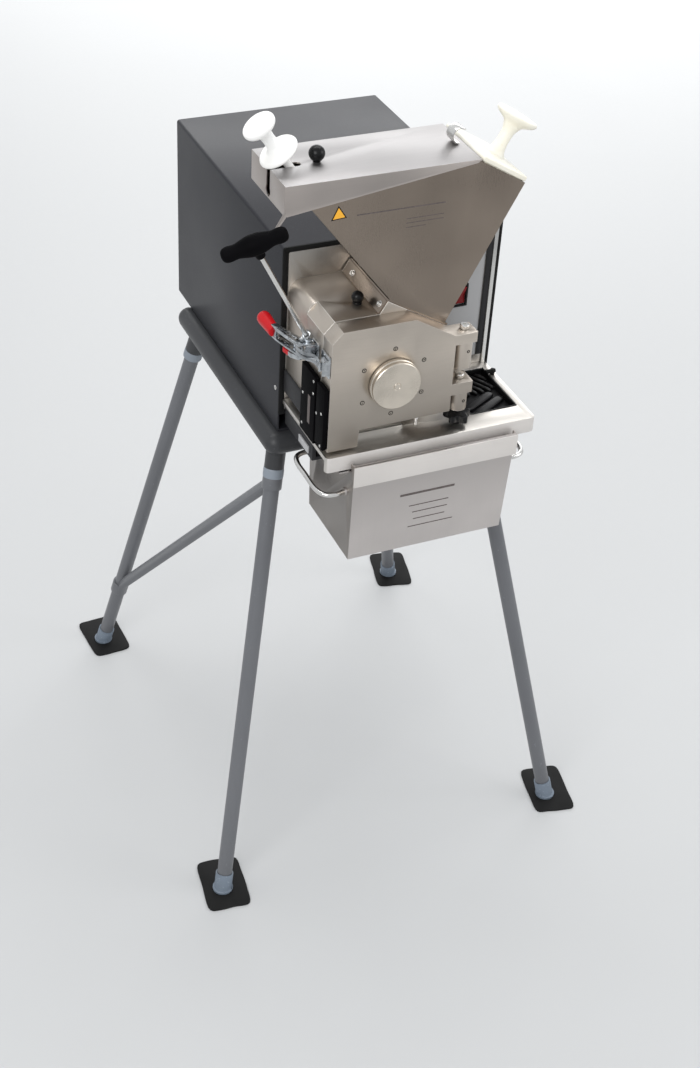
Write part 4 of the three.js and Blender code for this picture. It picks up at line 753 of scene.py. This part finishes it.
# %% Drawer without its handles
HANDLE_Z_MM, DRAWER_HALF_MM, ROD_R_MM = 855, 137, 4.2
TRIM_HALF_HIGH, TRIM_FROM_MM = 0.009, DRAWER_HALF_MM + 6.4
drawer = bmesh.new()
drawer.from_mesh(clean_copy("collecting_drawer"))
middle = at(0, 0, HANDLE_Z_MM)
outer = [v for v in drawer.verts if abs(v.co.z - middle.z) < TRIM_HALF_HIGH
         and abs(v.co.x - middle.x) > TRIM_FROM_MM / 1000]
bmesh.ops.delete(drawer, geom=outer, context="VERTS")
bmesh.ops.holes_fill(drawer, edges=[edge for edge in drawer.edges if edge.is_boundary], sides=0)
print("trimmed", len(outer), "points, open edges left:", sum(edge.is_boundary for edge in drawer.edges))
# The drawer's left side takes a darker copy of its finish: painted shade.
finished("collecting_drawer", drawer_steel, 0.6, facing=(LEFTWARD, drawer_side_painted_shade),
         mesh=closed_mesh(drawer, "drawer"))

# %% [markdown]
# A smooth rod is swept along the bends. The path between two bends is a Hermite curve with half the
# usual pull, which keeps the straight stretches straight. Each ring of points turns with the path.

# %% Smooth rod handles
def rod_path(points, steps=9):
    points = [2 * points[0] - points[1], *points, 2 * points[-1] - points[-2]]
    path = []
    for i in range(1, len(points) - 2):
        before, first, last, after = points[i - 1:i + 3]
        for k in range(steps + (i == len(points) - 3)):
            t = k / steps
            path.append(first * (2 * t ** 3 - 3 * t ** 2 + 1)
                        + (last - before) * 0.5 * (t ** 3 - 2 * t ** 2 + t)
                        + last * (3 * t ** 2 - 2 * t ** 3)
                        + (after - first) * 0.5 * (t ** 3 - t ** 2))
    return path


def swept_rod(points, radius_mm, around=20):
    path = rod_path(points)
    form, rings, side = bmesh.new(), [], Vector(UP)
    for k, spot in enumerate(path):
        heading = (path[min(k + 1, len(path) - 1)] - path[max(k - 1, 0)]).normalized()
        side = (side - heading * side.dot(heading)).normalized()
        across = heading.cross(side)
        rings.append([form.verts.new(spot + (side * math.cos(a) + across * math.sin(a)) * radius_mm / 1000)
                      for a in (2 * math.pi * j / around for j in range(around))])
    skin(form, rings)
    mesh = closed_mesh(form, "rod")
    smooth(mesh, 50)
    return mesh


BENDS_MM = [(3, -376), (22, -379), (38, -372), (44.6, -352), (44.6, -315), (44.6, -282), (38, -262),
            (22, -255), (3, -258)]      # (how far out from the drawer's side, depth)
for side, sx in SIDES:
    bends = [at(sx * (DRAWER_HALF_MM + out), y, HANDLE_Z_MM) for out, y in BENDS_MM]
    rides_with("collecting_drawer", f"drawer_handle_{side}", swept_rod(bends, ROD_R_MM), bright_steel)
print(made[-3:])

# %% [markdown]
# Screws, nuts, washers, ribs and printed lines repeat, so one Geometry Nodes tree places them all. It
# reads three values from each point: the way it faces, how far it is spun about that, and its size. The
# tree turns a part to match, makes it real geometry and gives it its finish.

# %% A tree that repeats a part on points
TREE_INPUTS = (("Points", "NodeSocketGeometry"), ("Part", "NodeSocketObject"),
               ("Overall size", "NodeSocketFloat"), ("Finish", "NodeSocketMaterial"))


def named_attribute(nodes, name, kind):
    node = nodes.new("GeometryNodeInputNamedAttribute")
    node.data_type = kind
    node.inputs["Name"].default_value = name
    return next(out for out in node.outputs if out.enabled and out.name == "Attribute")


def repeating_tree():
    tree = bpy.data.node_groups.new("repeated_parts", "GeometryNodeTree")
    for label, kind in TREE_INPUTS:
        tree.interface.new_socket(label, in_out="INPUT", socket_type=kind)
    tree.interface.new_socket("Result", in_out="OUTPUT", socket_type="NodeSocketGeometry")
    nodes, links = tree.nodes, tree.links
    given, result = nodes.new("NodeGroupInput"), nodes.new("NodeGroupOutput")
    part = nodes.new("GeometryNodeObjectInfo")
    facing = nodes.new("FunctionNodeAlignRotationToVector")
    facing.axis = "Z"
    spin = nodes.new("FunctionNodeAxisAngleToRotation")
    spin.inputs["Axis"].default_value = UP
    turn = nodes.new("FunctionNodeRotateRotation")
    turn.rotation_space = "LOCAL"
    size = nodes.new("ShaderNodeVectorMath")
    size.operation = "SCALE"
    place = nodes.new("GeometryNodeInstanceOnPoints")
    real = nodes.new("GeometryNodeRealizeInstances")
    coat = nodes.new("GeometryNodeSetMaterial")
    links.new(given.outputs["Part"], part.inputs["Object"])
    links.new(named_attribute(nodes, "facing", "FLOAT_VECTOR"), facing.inputs["Vector"])
    links.new(named_attribute(nodes, "spin", "FLOAT"), spin.inputs["Angle"])
    links.new(facing.outputs["Rotation"], turn.inputs["Rotation"])
    links.new(spin.outputs["Rotation"], turn.inputs["Rotate By"])
    links.new(named_attribute(nodes, "size", "FLOAT_VECTOR"), size.inputs[0])
    links.new(given.outputs["Overall size"], size.inputs["Scale"])
    links.new(given.outputs["Points"], place.inputs["Points"])
    links.new(part.outputs["Geometry"], place.inputs["Instance"])
    links.new(turn.outputs["Rotation"], place.inputs["Rotation"])
    links.new(size.outputs["Vector"], place.inputs["Scale"])
    links.new(place.outputs["Instances"], real.inputs["Geometry"])
    links.new(real.outputs["Geometry"], coat.inputs["Geometry"])
    links.new(given.outputs["Finish"], coat.inputs["Material"])
    links.new(coat.outputs["Geometry"], result.inputs["Result"])
    return tree


REPEAT = repeating_tree()
INPUT_ID = {item.name: item.identifier for item in REPEAT.interface.items_tree if item.in_out == "INPUT"}
print("tree inputs", list(INPUT_ID))

# %% [markdown]
# The tree is used through one function. It stores the three values on a row of points, sets the
# tree's inputs by their identifiers before anything is evaluated, and keeps only the plain mesh.

# %% Repeat a part
POINT_VALUES = ("facing", "spin", "size")


def store_values(points, places):
    """Writes facing, spin and size on the points, from [(place, facing, spin, size), ...]."""
    values = {
        "facing": ("FLOAT_VECTOR", [c for _, facing, _, _ in places for c in Vector(facing).normalized()]),
        "spin": ("FLOAT", [spin for _, _, spin, _ in places]),
        "size": ("FLOAT_VECTOR", [c for *_, size in places for c in size]),
    }
    for label in POINT_VALUES:
        kind, numbers = values[label]
        stored = points.attributes.new(label, kind, "POINT")
        stored.data.foreach_set("vector" if kind == "FLOAT_VECTOR" else "value", numbers)


def repeated(name, part_mesh, places, material, node):
    """places: [(place in mm, facing, spin in radians, (size x, y, z)), ...]"""
    part = bpy.data.objects.new("part_to_repeat", part_mesh)
    points = bpy.data.meshes.new("points")
    points.from_pydata([at(*place) for place, *_ in places], [], [])
    store_values(points, places)
    row = bpy.data.objects.new("row", points)
    scene.collection.objects.link(row)
    modifier = row.modifiers.new("repeat", "NODES")
    modifier.node_group = REPEAT
    modifier[INPUT_ID["Part"]] = part
    modifier[INPUT_ID["Overall size"]] = 1.0
    modifier[INPUT_ID["Finish"]] = material
    mesh = plain(row).data
    bpy.data.objects.remove(row)
    bpy.data.objects.remove(part)
    for label in POINT_VALUES:
        if label in mesh.attributes:
            mesh.attributes.remove(mesh.attributes[label])
    return rides_with(node, name, mesh, material)


def evenly(places, facing, size=1.0, spin_step=0.7):
    """Points that share one facing and size, each spun a little further than the last."""
    return [(place, facing, k * spin_step, (size,) * 3) for k, place in enumerate(places)]


print("repeats read", POINT_VALUES)

# %% [markdown]
# Three small parts do for every fastener: a socket screw with a hexagonal recess, a hexagon nut with a
# chamfered crown, and a washer. The round top of a screw blends into its hexagon ring by ring.

# %% Screws, nuts and washers
def socket_screw(radius, height, key, depth, around=24):
    """Sizes in mm: head radius and height, half the hexagon's width over corners, and its depth."""
    form = bmesh.new()

    def ring(reach, level, hexagonal=False):
        points = []
        for k in range(around):
            angle = 2 * math.pi * k / around
            flat = math.cos(math.pi / 6) / math.cos((angle % (math.pi / 3)) - math.pi / 6)
            r = reach * flat if hexagonal else reach
            points.append(form.verts.new(Vector((r * math.cos(angle), r * math.sin(angle), level)) / 1000))
        return points

    skin(form, [ring(radius, -1.0), ring(radius, height - 0.35 * min(1, height)), ring(radius - 0.3, height),
                ring(key + 0.25, height), ring(key, height - 0.15, True), ring(key, height - depth, True)])
    mesh = closed_mesh(form, "socket_screw")
    smooth(mesh, 35)
    return mesh


ORIGIN = Vector((0, 0, 0))
washer = turned_form([(2.4, -0.4), (5.2, -0.4), (5.2, 0.7), (4.9, 0.9), (2.4, 0.9), (2.4, -0.4)],
                     ORIGIN, UP, 28)
nut = shaped(turned_form([(0, -0.5), (4.6, -0.5), (4.6, 3.0), (0, 3.0)], ORIGIN, UP, 6), eased(0.45, 2))
smooth(nut, 20)
stud = turned_form(rounded_profile([(0, -0.5), (2.4, -0.5), (2.4, 4.4), (0, 4.8)], 0.5, 2), ORIGIN, UP, 20)
# a thin dark disc under each door screw, in place of the shade in its counterbore: painted shadow
seat_shadow = turned_form([(0, -0.3), (3.9, -0.3), (3.9, 0.12), (0, 0.12)], ORIGIN, UP, 28)
door_screw = socket_screw(2.3, 0.5, 1.5, 1.2)
strip_screw = socket_screw(3.9, 3.2, 2.0, 1.6)
grub_screw = socket_screw(2.6, 0.35, 1.6, 1.2)
small_screw = socket_screw(2.4, 1.1, 1.3, 0.8)
casing_screw = socket_screw(4.0, 1.8, 1.9, 1.2)
print("five screws, a nut, a stud, a washer and a dark seat")

# %% [markdown]
# Each row of the table says which part goes where, and on which frame piece. The six screws on the
# door lie on one circle round the centre cap. The others follow the edges of the piece they hold.

# %% Set the fasteners
DOOR_FACE_MM, CIRCLE_X_MM, CIRCLE_Z_MM, CIRCLE_R_MM = -383.8, -74.5, 1049, 57
circle = [(CIRCLE_X_MM + CIRCLE_R_MM * math.sin(a), DOOR_FACE_MM, CIRCLE_Z_MM + CIRCLE_R_MM * math.cos(a))
          for a in (math.pi / 3 * k for k in range(6))]
STRIP_OUT, HINGE_OUT = (-0.849, 0, 0.528), (0.2, -1, 0)
strip = [(-84.6, y, 1160.3) for y in (-340, -240)]
grubs = [(52, -380.8, 1075), (52.5, -380.8, 985.6)]
lock_places = [(-186, -341, 1046), (-186, -341, 1024.6), (-186, -301.7, 1004), (-186, -301.7, 949)]
actuator_places = [(-186, -356, 999), (-186, -374, 1008), (-186, -374, 950)]
clamp_places = [(-181.3, y, z) for y in (-337.5, -296.5) for z in (1077.5, 1104.5)]
catch_places = [(-181.3, -364, z) for z in (1076, 1106)]
cover_places = [(x, 279, z) for x in (-172, 0, 172) for z in (890, 1188)]
PIVOT_MM = (-197, -315, 1106.6)
FASTENERS = (   # (name, part, places in mm, facing, finish, frame piece)
    # dark rings under the door screws: painted shadow of their counterbores
    ("door_screw_seats", seat_shadow, circle, FRONT, dark_screws_and_seat_shadow, "chamber_door"),
    ("door_screws", door_screw, circle, FRONT, turned_steel, "chamber_door"),
    ("hopper_strip_washers", washer, strip, STRIP_OUT, bright_steel, "hopper"),
    ("hopper_strip_screws", strip_screw, strip, STRIP_OUT, bright_steel, "hopper"),
    ("hinge_grub_screws", grub_screw, grubs, HINGE_OUT, dark_screws_and_seat_shadow, "hinge_bracket"),
    ("guard_lock_screws", small_screw, lock_places, LEFTWARD, bright_steel, "guard_lock"),
    ("actuator_screws", small_screw, actuator_places, LEFTWARD, bright_steel, "guard_lock_actuator"),
    ("clamp_base_screws", small_screw, clamp_places, LEFTWARD, zinc, "clamp_base"),
    ("door_catch_screws", small_screw, catch_places, LEFTWARD, zinc, "door_catch"),
    ("casing_side_screw_left", casing_screw, [(-188, -197, 950)], LEFTWARD, bright_steel, "casing_shell"),
    ("casing_side_screw_right", casing_screw, [(188, -197, 950)], RIGHTWARD, bright_steel, "casing_shell"),
    ("back_cover_screws", casing_screw, cover_places, BACKWARD, bright_steel, "casing_back"),
    ("clamp_pivot_nut", nut, [PIVOT_MM], UP, zinc, "clamp_base"),
    ("clamp_pivot_stud", stud, [PIVOT_MM], UP, bright_steel, "clamp_base"),
)
for name, part, places, facing, material, node in FASTENERS:
    repeated(name, part, evenly(places, facing), material, node)
print("fastener pieces", len(FASTENERS))

# %% [markdown]
# On the deck's right end lies a rubber mat. Its tray is one skin that runs up the outside, over a
# narrow rim and down the inside, so it is drawn as four square rings.

# %% Tray of the drip mat
MAT_LEFT_MM, MAT_RIGHT_MM, MAT_FRONT_MM, MAT_BACK_MM = 84.3, 169.7, -351.7, -229.3
DECK_MM, MAT_RIM_MM = 935, 3
form = bmesh.new()


def mat_ring(inset, level):
    left, right = MAT_LEFT_MM + inset, MAT_RIGHT_MM - inset
    front, back = MAT_FRONT_MM + inset, MAT_BACK_MM - inset
    return [form.verts.new(at(x, y, DECK_MM + level))
            for x, y in ((left, front), (right, front), (right, back), (left, back))]


skin(form, [mat_ring(0, -16), mat_ring(0, 0.8), mat_ring(MAT_RIM_MM, 0.8), mat_ring(MAT_RIM_MM, -11)])
tray = shaped(closed_mesh(form, "tray"), eased(1.6, 4))
smooth(tray)
stands_for("drip_mat", "drip_mat_tray", tray, mat_rubber)
print(made[-1])

# %% [markdown]
# The mat's back half has narrow ribs and its front half has broad ones laid the other way, like
# parquet. Each rib is a small eased bar, and each run of it is clipped to its half of the mat.

# %% Ribs of the drip mat
RIB_FIELDS = (   # (slant in degrees, near corner, far corner, rib width, pitch, how many)
    (-61, (88, -290), (166, -233), 6.5, 11.5, 9),
    (28, (88, -348), (166, -289), 15, 19.5, 6),
)
RIB_MIDDLE_MM, RIB_HIGH_MM = DECK_MM - 8.6, 7.5


def unit_bar(name):
    """A bar of one millimetre each way, to be scaled where it is repeated."""
    form = bmesh.new()
    bmesh.ops.create_cube(form, size=0.001)
    return closed_mesh(form, name)


def clipped(middle, run, low, high, half_width):
    """The stretch of a slanting rib that stays inside a box: its middle and its length, or None."""
    near, far = -1e3, 1e3
    for axis in (0, 1):
        room_low, room_high = low[axis] + half_width, high[axis] - half_width
        if abs(run[axis]) < 1e-6:
            continue
        first, last = sorted(((room_low - middle[axis]) / run[axis], (room_high - middle[axis]) / run[axis]))
        near, far = max(near, first), min(far, last)
    if far - near < 2 * half_width:
        return None
    return middle + run * (near + far) / 2, far - near


rib = shaped(unit_bar("rib"), ("BEVEL", {"width": 0.00024, "segments": 3, "limit_method": "NONE"}))
smooth(rib, 50)
ribs = []
for slant, low, high, width, pitch, count in RIB_FIELDS:
    run = Vector((math.cos(math.radians(slant)), math.sin(math.radians(slant))))
    across = Vector((-run.y, run.x))
    centre = Vector(((low[0] + high[0]) / 2, (low[1] + high[1]) / 2))
    for k in range(count):
        found = clipped(centre + across * (k - (count - 1) / 2) * pitch, run, low, high, width / 2)
        if found:
            spot, length = found
            size = (length + width * 0.8, width, RIB_HIGH_MM)
            ribs.append(((spot.x, spot.y, RIB_MIDDLE_MM), UP, math.radians(slant), size))
repeated("drip_mat_ribs", rib, ribs, mat_rubber, "drip_mat")
print(len(ribs), "ribs on the mat")

# %% [markdown]
# Thin plates finish the front: a black bezel round the switch, beside the panel a dark strip that stands in
# for the shadow gap between panel and frame (painted shadow) and a light trim strip, the drawer's folded
# lip in the lighter flange finish (painted light) and a plain grey strip on the safety switch.

# %% Bezel, trim strips and the drawer's lip
PLATE_FACE_MM = -210.6


def thin_plate(node, name, outline, normal, thick_mm, material, ease_mm=0.3, hole=None):
    """A flat plate from an outline of points in mm, raised along normal; hole is an inner outline."""
    form = bmesh.new()
    lift = Vector(normal) * thick_mm / 1000
    loops = [[form.verts.new(at(*p) + rise) for p in outline] for rise in (Vector(), lift)]
    if not hole:
        skin(form, loops)
    else:
        inner = [[form.verts.new(at(*p) + rise) for p in hole] for rise in (Vector(), lift)]
        for k in range(len(outline)):
            j = (k + 1) % len(outline)
            form.faces.new((loops[0][k], loops[0][j], loops[1][j], loops[1][k]))
            form.faces.new((inner[0][k], inner[1][k], inner[1][j], inner[0][j]))
            form.faces.new((loops[0][k], inner[0][k], inner[0][j], loops[0][j]))
            form.faces.new((loops[1][k], loops[1][j], inner[1][j], inner[1][k]))
    mesh = shaped(closed_mesh(form, name), eased(ease_mm))
    smooth(mesh)
    return rides_with(node, name, mesh, material)


def on_front(x0, x1, z0, z1, y):
    return [(x0, y, z0), (x1, y, z0), (x1, y, z1), (x0, y, z1)]


def on_side(y0, y1, z0, z1, x):
    return [(x, y0, z0), (x, y1, z0), (x, y1, z1), (x, y0, z1)]


on_plate = PLATE_FACE_MM - 0.05
thin_plate("control_panel", "switch_bezel", on_front(102.6, 135.4, 1050.6, 1091.4, PLATE_FACE_MM + 0.2),
           FRONT, 4.0, black_plastic, 0.8, on_front(106.1, 131.9, 1054.1, 1087.9, PLATE_FACE_MM + 0.2))
# a dark strip stands in for the shadow gap between the panel and the frame: painted shadow
thin_plate("front_plate", "panel_trim_dark", on_front(163.4, 173.6, 951.5, 1190, on_plate), FRONT,
           1.2, dark_plastic, 0.4)
thin_plate("front_plate", "panel_trim_light", on_front(174.2, 180.9, 914, 1194.5, on_plate), FRONT,
           2.4, bright_steel, 0.6)
# the lip wears the lighter flange finish: painted light
thin_plate("collecting_drawer", "drawer_lip_band", on_front(-142.2, 142.2, 884, 921.2, -408.9), FRONT,
           2.2, flange_painted_light, 0.9)
thin_plate("guard_lock", "guard_lock_strip", on_side(-330, -321, 962, 1012, -186.05), LEFTWARD,
           0.25, print_grey, 0.1)
print(made[-5:])

# %% [markdown]
# The hopper carries a plain yellow sticker with a black edge. Where the real machine has printing
# there are only plain bars, with no letters and no marks. The drawer's face leans, so its bars do too.

# %% Sticker and plain printed bars
HOPPER_FACE_MM, STICKER_MM, STICKER_TURN = -350.0, (-163.2, 1322.4), 94
DRAWER_TOP_MM, DRAWER_FACE_MM, DRAWER_LEAN = 903, -405, 10 / 171
INK_MM = 0.3


def triangle(middle, side, y):
    return [(middle[0] + side / 3 ** 0.5 * math.cos(a), y, middle[1] + side / 3 ** 0.5 * math.sin(a))
            for a in (math.radians(STICKER_TURN + 120 * k) for k in range(3))]


def drawer_face(z):
    return DRAWER_FACE_MM + (DRAWER_TOP_MM - z) * DRAWER_LEAN


thin_plate("hopper", "sticker_edge", triangle(STICKER_MM, 24.5, HOPPER_FACE_MM - 0.02), FRONT, 0.2,
           black_plastic, 0.08)
thin_plate("hopper", "sticker_middle", triangle(STICKER_MM, 19.0, HOPPER_FACE_MM - 0.15), FRONT, 0.2,
           sticker_yellow, 0.08)
# (distance across, height, length and thickness of each bar), in mm
HOPPER_LINES = ((-65, 1317.6, 140, 2.0), (-26, 1300, 60, 1.2), (-26, 1293, 60, 1.2), (-40, 1286, 32, 1.2))
DRAWER_LINES = ((-7, 842, 96, 4.2), (-2, 817, 70, 1.6), (1, 803, 62, 1.6), (1, 788.5, 56, 1.6),
                (5, 773.5, 80, 1.6))
bar = unit_bar("bar")
hopper_bars = [((x, HOPPER_FACE_MM, z), FRONT, 0, (long, tall, INK_MM)) for x, z, long, tall in HOPPER_LINES]
drawer_bars = [((x, drawer_face(z), z), (0, -1, -DRAWER_LEAN), 0, (long, tall, INK_MM))
               for x, z, long, tall in DRAWER_LINES]
repeated("hopper_printed_bars", bar, hopper_bars, print_grey, "hopper")
repeated("drawer_printed_bars", bar, drawer_bars, print_grey, "collecting_drawer")
print(made[-4:])

# %% [markdown]
# A strip of sheet on the cover's right end is rolled into a hook that opens over the inlet. It is drawn
# as a curve in side view and given its width. Small pale blocks show where the drawer's runners end,
# and a short stepped pin under the door's hinge stops it.

# %% Stop pin, rolled hook and runner ends
STOP_PIN_MM = (-26, -376, 956)
HOOK_X_MM, HOOK_Z_MM, HOOK_R_MM, HOOK_SHEET_MM = 47.5, 1391.0, 12.6, 2.0
HOOK_FRONT_MM, HOOK_BACK_MM = -298, -277
RUNNER_END_MM, RUNNER_END_THICK_MM = 178.4, 3.0
stop_pin = rounded_profile([(0, 0), (2.6, 0), (2.6, 12), (4.2, 12), (4.2, 17), (0, 17)], 0.5, 2)
rides_with("chamber_door", "door_stop_pin", turned_form(stop_pin, at(*STOP_PIN_MM), UP, 28), bright_steel)
side_view = []
for radius, angles in ((HOOK_R_MM, range(270, 49, -10)), (HOOK_R_MM - HOOK_SHEET_MM, range(50, 271, 10))):
    side_view += [(HOOK_X_MM + radius * math.cos(math.radians(a)), HOOK_BACK_MM,
                   HOOK_Z_MM + radius * math.sin(math.radians(a))) for a in angles]
hook = thin_plate("cover_hook", "cover_hook_rolled", side_view, FRONT, HOOK_BACK_MM - HOOK_FRONT_MM,
                  bright_steel, 0.4)
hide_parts("cover_hook")
for side, sx in SIDES:
    thin_plate("drawer_runner_left", f"runner_end_{side}", on_side(-318, -279, 898, 911, sx * RUNNER_END_MM),
               (sx, 0, 0), RUNNER_END_THICK_MM, panel_paint, 0.8)
print(made[-4:])

# %% [markdown]
# Last, the box of the finished model is measured and printed, and the frame's box is kept beside it.

# %% Measure and finish
cad_box = [list(cad_low), list(cad_high)]
visual_box = [list(corner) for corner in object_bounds()]
print("finished box", [[round(v, 4) for v in corner] for corner in visual_box])
